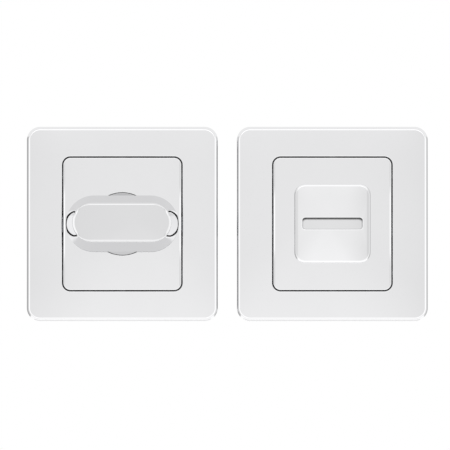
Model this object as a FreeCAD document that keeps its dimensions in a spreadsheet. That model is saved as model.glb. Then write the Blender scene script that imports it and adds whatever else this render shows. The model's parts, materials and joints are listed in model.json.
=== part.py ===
# Bathroom thumb turn and release: two near-square roses, laid side by side with their fronts towards -Y.
# The door face is the plane y = 0, +Z is up, and the origin is where the thumb turn's axis meets the door.
# Depths are counted from the door face towards the front, so a depth of 9 lies at y = -9.
import FreeCAD
import Part
import math
import os
import Sketcher

doc = FreeCAD.newDocument("BathroomThumbTurnLock")

# Driving dimensions, in millimetres
SIZES = [
    ("rose_gap", 5.3, "between the two rose covers as they lie side by side"),
    ("cover_width", 53.0, "rose cover, across"),
    ("cover_height", 54.0, "rose cover, upright"),
    ("cover_depth", 9.0, "rose cover, from the door to its front"),
    ("cover_corner", 3.7, "radius of the cover's corners, seen from the front"),
    ("cover_edge_round", 0.9, "round along the cover's front edge"),
    ("cover_wall", 1.2, "thickness of the cover's walls"),
    ("lip_depth", 3.0, "how far the window's lip reaches back from the front"),
    ("lip_wall", 1.0, "thickness of the window's lip"),
    ("bead_height", 0.35, "how far the catch bead stands in from the cover's wall"),
    ("bead_depth", 1.1, "depth of the catch bead's crest"),
    ("bead_end_gap", 1.5, "from the end of a catch bead to the nearest locating lug"),
    ("panel_width", 32.75, "centre panel, across"),
    ("panel_height", 36.75, "centre panel, upright"),
    ("panel_corner", 2.0, "radius of the centre panel's corners"),
    ("panel_gap", 0.35, "line between the centre panel and the cover's window"),
    ("panel_thickness", 2.2, "thickness of the centre panel"),
    ("panel_edge_round", 0.15, "round along the front edges of panel and window"),
    ("peg_diameter", 5.0, "pegs on the back of the centre panel"),
    ("peg_length", 3.0, "length of the panel's pegs"),
    ("tap_depth", 3.2, "depth of the tapped holes in the panel's pegs"),
    ("pillar_inset", 4.875, "panel pegs and pillars, from the panel's edges"),
    ("pillar_diameter", 8.0, "pillars of the fixing plate"),
    ("seat_gap", 0.1, "gap round a piece that sits in a socket of another"),
    ("plate_base", 2.5, "thickness of the fixing plate's floor"),
    ("plate_side_gap", 0.25, "gap from the fixing plate to the cover's wall"),
    ("clip_space", 1.9, "room for the cover clips above and below the fixing plate"),
    ("rim_wall", 1.5, "thickness of the fixing plate's rim"),
    ("rim_depth", 5.0, "depth of the rim's front edge"),
    ("hub_diameter", 20.8, "hub in the middle of the fixing plate"),
    ("hub_recess_diameter", 18.6, "recess for washers and circlip in the hub's back"),
    ("hub_recess_depth", 3.0, "depth of that recess"),
    ("rib_width", 1.6, "thickness of the fixing plate's ribs"),
    ("rib_depth", 5.0, "depth of the ribs' front edges"),
    ("lug_width", 4.0, "locating lugs above and below the fixing plate"),
    ("lug_inset", 6.55, "locating lugs, from the fixing plate's sides"),
    ("bolt_inset", 6.05, "fixing bolts and wood screws, from the fixing plate's sides"),
    ("bolt_boss_diameter", 9.0, "raised seat under each bolt head or post"),
    ("bolt_boss_height", 0.5, "height of that seat above the plate's floor"),
    ("bolt_diameter", 4.0, "fixing bolts"),
    ("bolt_length", 40.0, "fixing bolts, under the head"),
    ("bolt_thread_diameter", 3.54, "pitch diameter of the bolts' thread"),
    ("bolt_thread_length", 28.0, "threaded length of the bolts"),
    ("bolt_head_diameter", 8.0, "pan heads of the fixing bolts"),
    ("bolt_head_height", 2.4, "height of the pan heads"),
    ("bolt_head_round", 0.9, "round of the pan heads"),
    ("bolt_hole_gap", 0.15, "gap round a bolt in its hole"),
    ("driver_width", 0.9, "width of the cross recess in a bolt head"),
    ("driver_length", 4.0, "length of the cross recess"),
    ("driver_depth", 1.3, "depth of the cross recess"),
    ("post_diameter", 6.5, "threaded posts of the release half"),
    ("post_length", 19.0, "threaded posts, under their flange"),
    ("post_flange_diameter", 8.0, "flanges of the threaded posts"),
    ("post_flange_height", 1.2, "height of those flanges"),
    ("post_bore_diameter", 3.3, "tapped bore of a post"),
    ("post_bore_depth", 14.0, "depth of that bore"),
    ("wood_screw_inset", 5.6, "wood screw holes, from the fixing plate's top and bottom"),
    ("wood_screw_hole", 3.8, "wood screw holes in the fixing plate"),
    ("wood_screw_sink", 7.2, "countersinks of the wood screw holes"),
    ("panel_screw_diameter", 3.0, "screws that hold the centre panel"),
    ("panel_screw_length", 6.3, "overall length of those screws"),
    ("panel_screw_head", 5.6, "countersunk heads of those screws"),
    ("panel_screw_inset", 0.15, "how far those heads lie below the plate's back"),
    ("panel_driver_width", 0.65, "width of the cross recess in a panel screw"),
    ("panel_driver_length", 2.8, "length of that cross recess"),
    ("panel_driver_depth", 0.9, "depth of that cross recess"),
    ("sink_gap", 0.2, "gap round the panel screws' heads in their countersinks"),
    ("thread_gap", 0.02, "gap round a thread in its tapped hole"),
    ("clip_thickness", 0.4, "spring strip of the cover clips"),
    ("clip_slanted", 0.48, "the same strip, measured upright where it slants"),
    ("clip_bend", 0.2, "round of the bends in the strip"),
    ("clip_width", 8.0, "width of a cover clip"),
    ("clip_offset_x", 5.6, "cover clips, from the axis across"),
    ("clip_notch", 0.8, "notch in the rim for each clip"),
    ("clip_free", 0.3, "gap from a clip's bulge to the cover's wall"),
    ("clip_bulge_depth", 2.7, "depth of the clip's bulge"),
    ("clip_tip_depth", 0.8, "depth of the clip's tip"),
    ("strip_gap", 0.08, "gap between spring strip and rim"),
    ("neck_diameter", 17.45, "neck of the turn and of the release, at the panel"),
    ("neck_gap", 0.06, "gap round the neck in the panel's bore"),
    ("neck_top_diameter", 15.0, "neck of the thumb turn, under its grip"),
    ("shank_diameter", 10.0, "shank that turns in the bush"),
    ("shank_overhang", 1.5, "how far the shank stands out behind the door face"),
    ("shank_chamfer", 0.5, "chamfer at the shank's end"),
    ("running_gap", 0.05, "running clearance, radial and end to end"),
    ("bush_outer_diameter", 13.0, "sleeve of the bush"),
    ("bush_flange_thickness", 1.0, "flange of the bush"),
    ("washer_diameter", 15.4, "thrust washer and wave washer, outside"),
    ("washer_thickness", 0.5, "thrust washer"),
    ("wave_thickness", 0.3, "sheet of the wave washer"),
    ("wave_height", 1.0, "wave washer, over its waves"),
    ("circlip_thickness", 1.0, "circlip"),
    ("circlip_groove_gap", 0.05, "play of the circlip in its groove, each side"),
    ("circlip_groove_diameter", 9.4, "bottom of the circlip's groove"),
    ("circlip_back_width", 2.1, "ring of the circlip opposite its ears"),
    ("circlip_ear_width", 1.05, "ring of the circlip beside its ears"),
    ("circlip_lug_diameter", 3.2, "ears of the circlip"),
    ("circlip_eye_diameter", 1.5, "plier holes in the ears"),
    ("circlip_opening", 4.6, "between the centres of the ears"),
    ("spindle_width", 5.0, "square spindle, across the flats"),
    ("spindle_length", 60.0, "square spindle"),
    ("spindle_edge", 0.4, "chamfer of the spindle's long edges"),
    ("socket_gap", 0.03, "gap round the spindle in a socket"),
    ("turn_socket_depth", 12.0, "square socket in the thumb turn's shank"),
    ("release_socket_depth", 10.0, "square socket in the release's shank"),
    ("pin_diameter", 2.0, "rolled pin through shank and spindle"),
    ("pin_length", 9.6, "length of the rolled pin"),
    ("pin_wall", 0.35, "wall of the rolled pin"),
    ("pin_slit", 0.4, "slit of the rolled pin"),
    ("pin_depth", 5.0, "depth of the pin's axis"),
    ("grip_length", 31.3, "thumb grip at its base, long way"),
    ("grip_width", 15.6, "thumb grip at its base, short way"),
    ("grip_top_length", 27.3, "thumb grip at its front face, long way"),
    ("grip_top_width", 10.8, "thumb grip at its front face, short way"),
    ("grip_lift", 2.6, "from the panel's face to the grip's base"),
    ("grip_height", 10.8, "thumb grip, from its base to its front face"),
    ("grip_rim_round", 0.65, "round along the grip's front edge"),
    ("grip_base_round", 0.2, "round along the grip's base edge"),
    ("button_width", 21.2, "release button, across"),
    ("button_height", 21.95, "release button, upright"),
    ("button_corner", 3.05, "radius of the release button's corners"),
    ("button_edge_round", 0.55, "round along the release button's front edge"),
    ("button_lift", 0.3, "gap between the button and the panel's face"),
    ("button_thickness", 3.1, "release button, from its back to its front face"),
    ("slot_length", 16.6, "coin slot"),
    ("slot_width", 3.05, "coin slot"),
    ("slot_depth", 2.0, "coin slot"),
    ("slot_corner", 0.8, "radius of the coin slot's corners"),
    ("slot_edge_round", 0.22, "round along the coin slot's edge"),
]

sizes = doc.addObject("Spreadsheet::Sheet", "Sizes")
for row, (alias, number, meaning) in enumerate(SIZES, 1):
    sizes.set(f"A{row}", alias)
    sizes.set(f"B{row}", str(number))
    sizes.set(f"C{row}", meaning)
    sizes.setAlias(f"B{row}", alias)
doc.recompute()

# Depths and sizes that follow from the driving ones, as expressions over the sheet
FRONT = "Sizes.cover_depth"
PANEL_BACK = "(Sizes.cover_depth - Sizes.panel_thickness)"
INNER_WIDTH = "(Sizes.cover_width - 2 * Sizes.cover_wall)"
INNER_HEIGHT = "(Sizes.cover_height - 2 * Sizes.cover_wall)"
WINDOW_WIDTH = "(Sizes.panel_width + 2 * Sizes.panel_gap)"
WINDOW_HEIGHT = "(Sizes.panel_height + 2 * Sizes.panel_gap)"
WINDOW_CORNER = "(Sizes.panel_corner + Sizes.panel_gap)"
PLATE_WIDTH = f"({INNER_WIDTH} - 2 * Sizes.plate_side_gap)"
PLATE_HEIGHT = f"({INNER_HEIGHT} - 2 * Sizes.clip_space)"
PLATE_CORNER = "(Sizes.cover_corner - Sizes.cover_wall - Sizes.plate_side_gap)"
PITCH = "(Sizes.cover_width + Sizes.rose_gap)"
PILLAR_X = "(Sizes.panel_width / 2 - Sizes.pillar_inset)"
PILLAR_Z = "(Sizes.panel_height / 2 - Sizes.pillar_inset)"
BOLT_X = f"({PLATE_WIDTH} / 2 - Sizes.bolt_inset)"
WOOD_SCREW_Z = f"({PLATE_HEIGHT} / 2 - Sizes.wood_screw_inset)"
LUG_X = f"({PLATE_WIDTH} / 2 - Sizes.lug_inset)"
LUG_HEIGHT = "(Sizes.clip_space - Sizes.plate_side_gap)"
BEAD_LENGTH = f"(2 * ({LUG_X} - Sizes.bead_end_gap) - Sizes.lug_width)"
BOSS_FRONT = "(Sizes.plate_base + Sizes.bolt_boss_height)"
BUSH_FRONT = f"({PANEL_BACK} + Sizes.bush_flange_thickness)"
NECK_BACK = f"({BUSH_FRONT} + Sizes.running_gap)"
WASHER_BACK = "(Sizes.hub_recess_depth - 3 * Sizes.running_gap - Sizes.washer_thickness)"
WAVE_BACK = f"({WASHER_BACK} - Sizes.running_gap - Sizes.wave_height)"
CIRCLIP_BACK = f"({WAVE_BACK} - Sizes.running_gap - Sizes.circlip_thickness)"
GRIP_BASE = "(Sizes.cover_depth + Sizes.grip_lift)"
GRIP_FRONT = f"({GRIP_BASE} + Sizes.grip_height)"
BUTTON_BACK = "(Sizes.cover_depth + Sizes.button_lift)"
BUTTON_FRONT = f"({BUTTON_BACK} + Sizes.button_thickness)"
SOCKET_WIDTH = "(Sizes.spindle_width + 2 * Sizes.socket_gap)"
SOCKET_END = "(Sizes.turn_socket_depth - Sizes.shank_overhang)"
ORIGIN = (-1, 1)
ACROSS_AXIS = -1
UPRIGHT_AXIS = -2
SAME_PLACE = 1e-4

parts = []


def value(expression):
    """The number that an expression gives. Inside the sheet its sizes go by their bare names."""
    result = sizes.evalExpression(expression.replace("Sizes.", ""))
    return getattr(result, "Value", result)


# Sketches and features, each bound to the sheet


def start(label, half=None):
    """A body for one node. The release half lies one pitch to the right of the thumb turn's."""
    body = doc.addObject("PartDesign::Body", label)
    body.Label = label
    body.AllowCompound = True
    if half == "release":
        body.setExpression(".Placement.Base.x", PITCH)
    parts.append(body)
    return body


def sketch_on(body, role, depth="0"):
    """An empty sketch on one of the body's origin planes, moved along its normal by depth."""
    sketch = body.newObject("Sketcher::SketchObject", f"{body.Name}_outline")
    plane = next(f for f in body.Origin.OriginFeatures if f.Role == role)
    sketch.AttachmentSupport = (plane, [""])
    sketch.MapMode = "FlatFace"
    if depth != "0":
        sketch.setExpression(".AttachmentOffset.Base.z", depth)
    return sketch


def bind(sketch, constraint, expression):
    """Adds a constraint whose value is the expression."""
    index = sketch.addConstraint(constraint)
    name = f"Size{index}"
    sketch.renameConstraint(index, name)
    sketch.setExpression(f"Constraints.{name}", expression)


def fix_point(sketch, geometry, position, across, upright):
    """Ties a point of a sketch to its place from the sketch's axes."""
    ties = (("DistanceX", across, UPRIGHT_AXIS), ("DistanceY", upright, ACROSS_AXIS))
    for kind, expression, axis in ties:
        if expression == "0":
            sketch.addConstraint(Sketcher.Constraint("PointOnObject", geometry, position, axis))
        else:
            reach = value(expression)
            tie = Sketcher.Constraint(kind, *ORIGIN, geometry, position, reach)
            bind(sketch, tie, expression)


def draw_circle(sketch, diameter, across="0", upright="0"):
    """A circle of the given diameter, centred at the given place."""
    centre = FreeCAD.Vector(value(across), value(upright), 0)
    up = FreeCAD.Vector(0, 0, 1)
    ring = sketch.addGeometry(Part.Circle(centre, up, value(diameter) / 2))
    bind(sketch, Sketcher.Constraint("Diameter", ring, value(diameter)), diameter)
    fix_point(sketch, ring, 3, across, upright)


def draw_polygon(sketch, corners):
    """A closed outline of straight lines through corners given as pairs of expressions."""
    places = [FreeCAD.Vector(value(x), value(y), 0) for x, y in corners]
    lines = [
        sketch.addGeometry(Part.LineSegment(here, there))
        for here, there in zip(places, places[1:] + places[:1])
    ]
    for line, following in zip(lines, lines[1:] + lines[:1]):
        sketch.addConstraint(Sketcher.Constraint("Coincident", line, 2, following, 1))
    for line, (x, y) in zip(lines, corners):
        fix_point(sketch, line, 1, x, y)


def draw_box(sketch, width, height, across="0", upright="0"):
    """A rectangle with square corners, centred at the given place."""
    left, right = f"{across} - {width} / 2", f"{across} + {width} / 2"
    low, high = f"{upright} - {height} / 2", f"{upright} + {height} / 2"
    draw_polygon(sketch, [(left, low), (right, low), (right, high), (left, high)])


def draw_rounded_box(sketch, width, height, corner):
    """A rectangle about the sketch's origin, with its four corners rounded."""
    half_width, half_height, radius = value(width) / 2, value(height) / 2, value(corner)
    up = FreeCAD.Vector(0, 0, 1)
    arcs = []
    for quarter, (side, rise) in enumerate(((1, 1), (-1, 1), (-1, -1), (1, -1))):
        centre = FreeCAD.Vector(side * (half_width - radius), rise * (half_height - radius), 0)
        turned = quarter * math.pi / 2
        round_corner = Part.ArcOfCircle(Part.Circle(centre, up, radius), turned, turned + math.pi / 2)
        arcs.append(sketch.addGeometry(round_corner))
    lines = []
    for arc, following in zip(arcs, arcs[1:] + arcs[:1]):
        here = sketch.getPoint(arc, 2)
        there = sketch.getPoint(following, 1)
        line = sketch.addGeometry(Part.LineSegment(here, there))
        sketch.addConstraint(Sketcher.Constraint("Tangent", arc, 2, line, 1))
        sketch.addConstraint(Sketcher.Constraint("Tangent", line, 2, following, 1))
        lines.append(line)
    top, left, bottom, right = lines
    for line in (top, bottom):
        sketch.addConstraint(Sketcher.Constraint("Horizontal", line))
    for line in (left, right):
        sketch.addConstraint(Sketcher.Constraint("Vertical", line))
    for arc in arcs[1:]:
        sketch.addConstraint(Sketcher.Constraint("Equal", arcs[0], arc))
    bind(sketch, Sketcher.Constraint("Radius", arcs[0], radius), corner)
    across = Sketcher.Constraint("DistanceX", left, 1, right, 1, 2 * half_width)
    bind(sketch, across, width)
    upright = Sketcher.Constraint("DistanceY", bottom, 1, top, 1, 2 * half_height)
    bind(sketch, upright, height)
    sketch.addConstraint(Sketcher.Constraint("Symmetric", arcs[0], 3, arcs[2], 3, *ORIGIN))


def draw_stadium(sketch, length, width):
    """Two half circles joined by straight lines, long way across, about the sketch's origin."""
    radius = value(width) / 2
    reach = value(length) / 2 - radius
    up = FreeCAD.Vector(0, 0, 1)
    right_end = Part.Circle(FreeCAD.Vector(reach, 0, 0), up, radius)
    left_end = Part.Circle(FreeCAD.Vector(-reach, 0, 0), up, radius)
    right = sketch.addGeometry(Part.ArcOfCircle(right_end, -math.pi / 2, math.pi / 2))
    left = sketch.addGeometry(Part.ArcOfCircle(left_end, math.pi / 2, 1.5 * math.pi))
    for first, second in ((right, left), (left, right)):
        here, there = sketch.getPoint(first, 2), sketch.getPoint(second, 1)
        line = sketch.addGeometry(Part.LineSegment(here, there))
        sketch.addConstraint(Sketcher.Constraint("Tangent", first, 2, line, 1))
        sketch.addConstraint(Sketcher.Constraint("Tangent", line, 2, second, 1))
    bind(sketch, Sketcher.Constraint("Diameter", right, 2 * radius), width)
    sketch.addConstraint(Sketcher.Constraint("Symmetric", right, 3, left, 3, *ORIGIN))
    sketch.addConstraint(Sketcher.Constraint("PointOnObject", right, 3, ACROSS_AXIS))
    centres = Sketcher.Constraint("DistanceX", left, 3, right, 3, 2 * reach)
    bind(sketch, centres, f"{length} - {width}")


def pad(body, sketch, length, backwards=False, both_ways=False, taper=None):
    """Grows the sketch towards the front, or backwards towards the door, or half each way."""
    feature = body.newObject("PartDesign::Pad", f"{body.Name}_pad")
    feature.Profile = sketch
    feature.setExpression("Length", length)
    feature.Reversed = backwards
    feature.Midplane = both_ways
    if taper:
        feature.setExpression("TaperAngle", taper)
    doc.recompute()
    return feature


def pocket(body, sketch, length=None, forwards=False, both_ways=False, taper=None):
    """Cuts the sketch towards the door, or forwards, or right through where no length is given."""
    before = body.Shape.Volume
    feature = body.newObject("PartDesign::Pocket", f"{body.Name}_pocket")
    feature.Profile = sketch
    feature.Reversed = forwards
    if length:
        feature.setExpression("Length", length)
    else:
        feature.Type = "ThroughAll"
    feature.Midplane = both_ways
    if taper:
        feature.setExpression("TaperAngle", taper)
    doc.recompute()
    if body.Shape.Volume >= before:
        raise RuntimeError(f"a pocket of {body.Label} cuts nothing")
    return feature


def revolve(body, sketch):
    """Turns the sketch once round the rose's axis, which is the sketch's upright axis."""
    feature = body.newObject("PartDesign::Revolution", f"{body.Name}_turning")
    feature.Profile = sketch
    feature.ReferenceAxis = (sketch, ["V_Axis"])
    feature.Angle = 360
    doc.recompute()
    return feature


def dress(body, kind, size_name, size, wanted):
    """Rounds or chamfers the edges of the body for which wanted(edge) holds."""
    base = body.Tip
    edges = [f"Edge{n}" for n, edge in enumerate(base.Shape.Edges, 1) if wanted(edge)]
    if not edges:
        raise RuntimeError(f"{body.Label} has no edge to {kind}")
    feature = body.newObject(f"PartDesign::{kind}", f"{body.Name}_{kind.lower()}")
    feature.Base = (base, edges)
    feature.setExpression(size_name, size)
    doc.recompute()
    return feature


def at_depth(edge, depth):
    """Whether the whole edge lies at this depth, in the body's own frame."""
    box = edge.BoundBox
    return abs(box.YMin + depth) < SAME_PLACE and abs(box.YMax + depth) < SAME_PLACE


def reach_of(edge):
    """How far the edge reaches from the body's axis, across and upright."""
    box = edge.BoundBox
    return max(abs(box.XMin), abs(box.XMax)), max(abs(box.ZMin), abs(box.ZMax))


def outside(edge, width, height):
    """Whether the edge lies outside a rectangle of this width and height about the axis."""
    across, upright = reach_of(edge)
    return across > width / 2 + SAME_PLACE or upright > height / 2 + SAME_PLACE


def four_places(across, upright):
    """The four mirrored places of a rectangular pattern, as pairs of expressions."""
    return [(f"{side} * {across}", f"{rise} * {upright}") for side in (-1, 1) for rise in (-1, 1)]


PILLARS = four_places(PILLAR_X, PILLAR_Z)
WOOD_SCREWS = four_places(BOLT_X, WOOD_SCREW_Z)
LUGS = four_places(LUG_X, f"({PLATE_HEIGHT} + {LUG_HEIGHT}) / 2")
BOLTS = [(f"{side} * {BOLT_X}", "0") for side in (-1, 1)]


# Rose cover: a drawn frame with a lipped window, open at the back


def rose_cover(half):
    body = start(f"{half}_rose_cover", half)
    outline = sketch_on(body, "XZ_Plane")
    draw_rounded_box(outline, "Sizes.cover_width", "Sizes.cover_height", "Sizes.cover_corner")
    pad(body, outline, FRONT)
    front = value(FRONT)
    dress(body, "Fillet", "Radius", "Sizes.cover_edge_round", lambda edge: at_depth(edge, front))
    inside = sketch_on(body, "XZ_Plane")
    draw_rounded_box(
        inside, INNER_WIDTH, INNER_HEIGHT, "Sizes.cover_corner - Sizes.cover_wall"
    )
    pocket(body, inside, f"{FRONT} - Sizes.cover_wall", forwards=True)
    lip = sketch_on(body, "XZ_Plane", f"{FRONT} - Sizes.lip_depth")
    draw_rounded_box(
        lip,
        f"{WINDOW_WIDTH} + 2 * Sizes.lip_wall",
        f"{WINDOW_HEIGHT} + 2 * Sizes.lip_wall",
        f"{WINDOW_CORNER} + Sizes.lip_wall",
    )
    pad(body, lip, "Sizes.lip_depth")
    window = sketch_on(body, "XZ_Plane", FRONT)
    draw_rounded_box(window, WINDOW_WIDTH, WINDOW_HEIGHT, WINDOW_CORNER)
    pocket(body, window)
    width, height = value(WINDOW_WIDTH), value(WINDOW_HEIGHT)
    dress(
        body,
        "Fillet",
        "Radius",
        "Sizes.panel_edge_round",
        lambda edge: at_depth(edge, front) and not outside(edge, width, height),
    )
    for rise in (-1, 1):
        bead = sketch_on(body, "YZ_Plane")
        wall = f"{rise} * {INNER_HEIGHT} / 2"
        crest = f"{rise} * ({INNER_HEIGHT} / 2 - Sizes.bead_height)"
        draw_polygon(
            bead,
            [
                ("-Sizes.bead_depth + Sizes.bead_height", wall),
                ("-Sizes.bead_depth", crest),
                ("-Sizes.bead_depth - Sizes.bead_height", wall),
            ],
        )
        pad(body, bead, BEAD_LENGTH, both_ways=True)


# Centre panel: lies flush in the window and is held by four pegs on its back


def centre_panel(half):
    body = start(f"{half}_centre_panel", half)
    outline = sketch_on(body, "XZ_Plane", PANEL_BACK)
    draw_rounded_box(outline, "Sizes.panel_width", "Sizes.panel_height", "Sizes.panel_corner")
    pad(body, outline, "Sizes.panel_thickness")
    front = value(FRONT)
    dress(body, "Fillet", "Radius", "Sizes.panel_edge_round", lambda edge: at_depth(edge, front))
    pegs = sketch_on(body, "XZ_Plane", PANEL_BACK)
    for across, upright in PILLARS:
        draw_circle(pegs, "Sizes.peg_diameter", across, upright)
    pad(body, pegs, "Sizes.peg_length", backwards=True)
    taps = sketch_on(body, "XZ_Plane", f"{PANEL_BACK} - Sizes.peg_length")
    for across, upright in PILLARS:
        draw_circle(taps, "Sizes.panel_screw_diameter + 2 * Sizes.thread_gap", across, upright)
    pocket(body, taps, "Sizes.tap_depth", forwards=True)
    bore = sketch_on(body, "XZ_Plane", FRONT)
    draw_circle(bore, "Sizes.neck_diameter + 2 * Sizes.neck_gap")
    pocket(body, bore)


# Fixing plate: a die-casting that carries the panel, the bush, the cover clips and the door fixings


def fixing_plate(half, fixing_hole):
    body = start(f"{half}_fixing_plate", half)
    floor = sketch_on(body, "XZ_Plane")
    draw_rounded_box(floor, PLATE_WIDTH, PLATE_HEIGHT, PLATE_CORNER)
    pad(body, floor, "Sizes.plate_base")
    rim = sketch_on(body, "XZ_Plane", "Sizes.plate_base")
    draw_rounded_box(rim, PLATE_WIDTH, PLATE_HEIGHT, PLATE_CORNER)
    draw_rounded_box(
        rim,
        f"{PLATE_WIDTH} - 2 * Sizes.rim_wall",
        f"{PLATE_HEIGHT} - 2 * Sizes.rim_wall",
        f"{PLATE_CORNER} - Sizes.rim_wall",
    )
    pad(body, rim, "Sizes.rim_depth - Sizes.plate_base")
    lugs = sketch_on(body, "XZ_Plane")
    for across, upright in LUGS:
        draw_box(lugs, "Sizes.lug_width", LUG_HEIGHT, across, upright)
    pad(body, lugs, "Sizes.plate_base")
    hub = sketch_on(body, "XZ_Plane", "Sizes.plate_base")
    draw_circle(hub, "Sizes.hub_diameter")
    pad(body, hub, f"{PANEL_BACK} - Sizes.plate_base")
    pillars = sketch_on(body, "XZ_Plane", "Sizes.plate_base")
    for across, upright in PILLARS:
        draw_circle(pillars, "Sizes.pillar_diameter", across, upright)
    pad(body, pillars, f"{PANEL_BACK} - Sizes.plate_base")
    frame = sketch_on(body, "XZ_Plane", "Sizes.plate_base")
    for rise in (-1, 1):
        draw_box(
            frame,
            f"({PLATE_WIDTH} - Sizes.rim_wall)",
            "Sizes.rib_width",
            upright=f"{rise} * {PILLAR_Z}",
        )
    pad(body, frame, "Sizes.rib_depth - Sizes.plate_base")
    crossing = sketch_on(body, "XZ_Plane", "Sizes.plate_base")
    draw_box(crossing, "Sizes.rib_width", f"({PLATE_HEIGHT} - Sizes.rim_wall)")
    pad(body, crossing, "Sizes.rib_depth - Sizes.plate_base")
    bosses = sketch_on(body, "XZ_Plane", "Sizes.plate_base")
    for across, upright in BOLTS:
        draw_circle(bosses, "Sizes.bolt_boss_diameter", across, upright)
    pad(body, bosses, "Sizes.bolt_boss_height")

    bore = sketch_on(body, "XZ_Plane", PANEL_BACK)
    draw_circle(bore, "Sizes.bush_outer_diameter + 2 * Sizes.seat_gap")
    pocket(body, bore)
    recess = sketch_on(body, "XZ_Plane")
    draw_circle(recess, "Sizes.hub_recess_diameter")
    pocket(body, recess, "Sizes.hub_recess_depth", forwards=True)
    sockets = sketch_on(body, "XZ_Plane", PANEL_BACK)
    for across, upright in PILLARS:
        draw_circle(sockets, "Sizes.peg_diameter + 2 * Sizes.seat_gap", across, upright)
    pocket(body, sockets, "Sizes.peg_length + Sizes.seat_gap")
    fixings = sketch_on(body, "XZ_Plane", BOSS_FRONT)
    for across, upright in BOLTS:
        draw_circle(fixings, fixing_hole, across, upright)
    pocket(body, fixings)
    notches = sketch_on(body, "XZ_Plane", "Sizes.rim_depth")
    for across, upright in four_places(
        "Sizes.clip_offset_x", f"({PLATE_HEIGHT} / 2 - Sizes.rim_wall / 2)"
    ):
        draw_box(
            notches,
            "(Sizes.clip_width + 2 * Sizes.seat_gap)",
            "2 * Sizes.rim_wall",
            across,
            upright,
        )
    pocket(body, notches, "Sizes.clip_notch")
    countersunk(body, WOOD_SCREWS, "Sizes.plate_base", "Sizes.wood_screw_hole", "Sizes.wood_screw_sink")
    screw_hole = "(Sizes.panel_screw_diameter + 2 * Sizes.seat_gap)"
    screw_sink = "(Sizes.panel_screw_head + 2 * Sizes.sink_gap)"
    countersunk(body, PILLARS, "0", screw_hole, screw_sink, forwards=True)


def countersunk(body, places, depth, hole, sink, forwards=False):
    """Holes right through from this depth, each opened to a 90 degree countersink."""
    drilled = sketch_on(body, "XZ_Plane", depth)
    opened = sketch_on(body, "XZ_Plane", depth)
    for across, upright in places:
        draw_circle(drilled, hole, across, upright)
        draw_circle(opened, sink, across, upright)
    pocket(body, drilled, forwards=forwards)
    pocket(body, opened, f"({sink} - {hole}) / 2", forwards=forwards, taper="-45")


# Cover clips: bent spring strip that hooks over the rim and presses on the cover's wall


def cover_clips(half):
    body = start(f"{half}_cover_clips", half)
    strips = sketch_on(body, "YZ_Plane")
    rim_outside = f"{PLATE_HEIGHT} / 2"
    rim_inside = f"({rim_outside} - Sizes.rim_wall - Sizes.strip_gap)"
    beside_rim = f"({rim_outside} + Sizes.strip_gap)"
    bulge = f"({INNER_HEIGHT} / 2 - Sizes.clip_free)"
    saddle = "(Sizes.rim_depth - Sizes.clip_notch + Sizes.strip_gap)"
    leg_end = "(Sizes.plate_base + Sizes.seat_gap)"
    for rise in (-1, 1):
        corners = [
            (rim_inside, leg_end),
            (rim_inside, saddle),
            (beside_rim, saddle),
            (f"({bulge} - Sizes.clip_slanted)", "Sizes.clip_bulge_depth"),
            (beside_rim, "Sizes.clip_tip_depth"),
            (f"({beside_rim} + Sizes.clip_slanted)", "Sizes.clip_tip_depth"),
            (bulge, "Sizes.clip_bulge_depth"),
            (f"({beside_rim} + Sizes.clip_slanted)", f"({saddle} + Sizes.clip_thickness)"),
            (f"({rim_inside} - Sizes.clip_thickness)", f"({saddle} + Sizes.clip_thickness)"),
            (f"({rim_inside} - Sizes.clip_thickness)", leg_end),
        ]
        draw_polygon(strips, [(f"-1 * {deep}", f"{rise} * {high}") for high, deep in corners])
    pad(body, strips, "2 * Sizes.clip_offset_x + Sizes.clip_width", both_ways=True)
    tips = (value(leg_end), value("Sizes.clip_tip_depth"))
    dress(
        body,
        "Fillet",
        "Radius",
        "Sizes.clip_bend",
        lambda edge: edge.BoundBox.XLength > SAME_PLACE
        and not any(at_depth(edge, depth) for depth in tips),
    )
    between = sketch_on(body, "XZ_Plane")
    draw_box(between, "(2 * Sizes.clip_offset_x - Sizes.clip_width)", INNER_HEIGHT)
    pocket(body, between, FRONT, forwards=True)


# Bush, washers and circlip that carry a shank in the hub


def bush(half):
    body = start(f"{half}_bush", half)
    section = sketch_on(body, "XY_Plane")
    inside = "(Sizes.shank_diameter / 2 + Sizes.running_gap)"
    sleeve = "Sizes.bush_outer_diameter / 2"
    flange = "Sizes.neck_diameter / 2"
    back = "-1 * (Sizes.hub_recess_depth - Sizes.running_gap)"
    corners = [
        (inside, f"-1 * {BUSH_FRONT}"),
        (flange, f"-1 * {BUSH_FRONT}"),
        (flange, f"-1 * {PANEL_BACK}"),
        (sleeve, f"-1 * {PANEL_BACK}"),
        (sleeve, back),
        (inside, back),
    ]
    draw_polygon(section, corners)
    revolve(body, section)


def thrust_washer(half):
    body = start(f"{half}_thrust_washer", half)
    face = sketch_on(body, "XZ_Plane", WASHER_BACK)
    draw_circle(face, "Sizes.washer_diameter")
    draw_circle(face, "Sizes.shank_diameter + 2 * Sizes.seat_gap")
    pad(body, face, "Sizes.washer_thickness")


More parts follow.
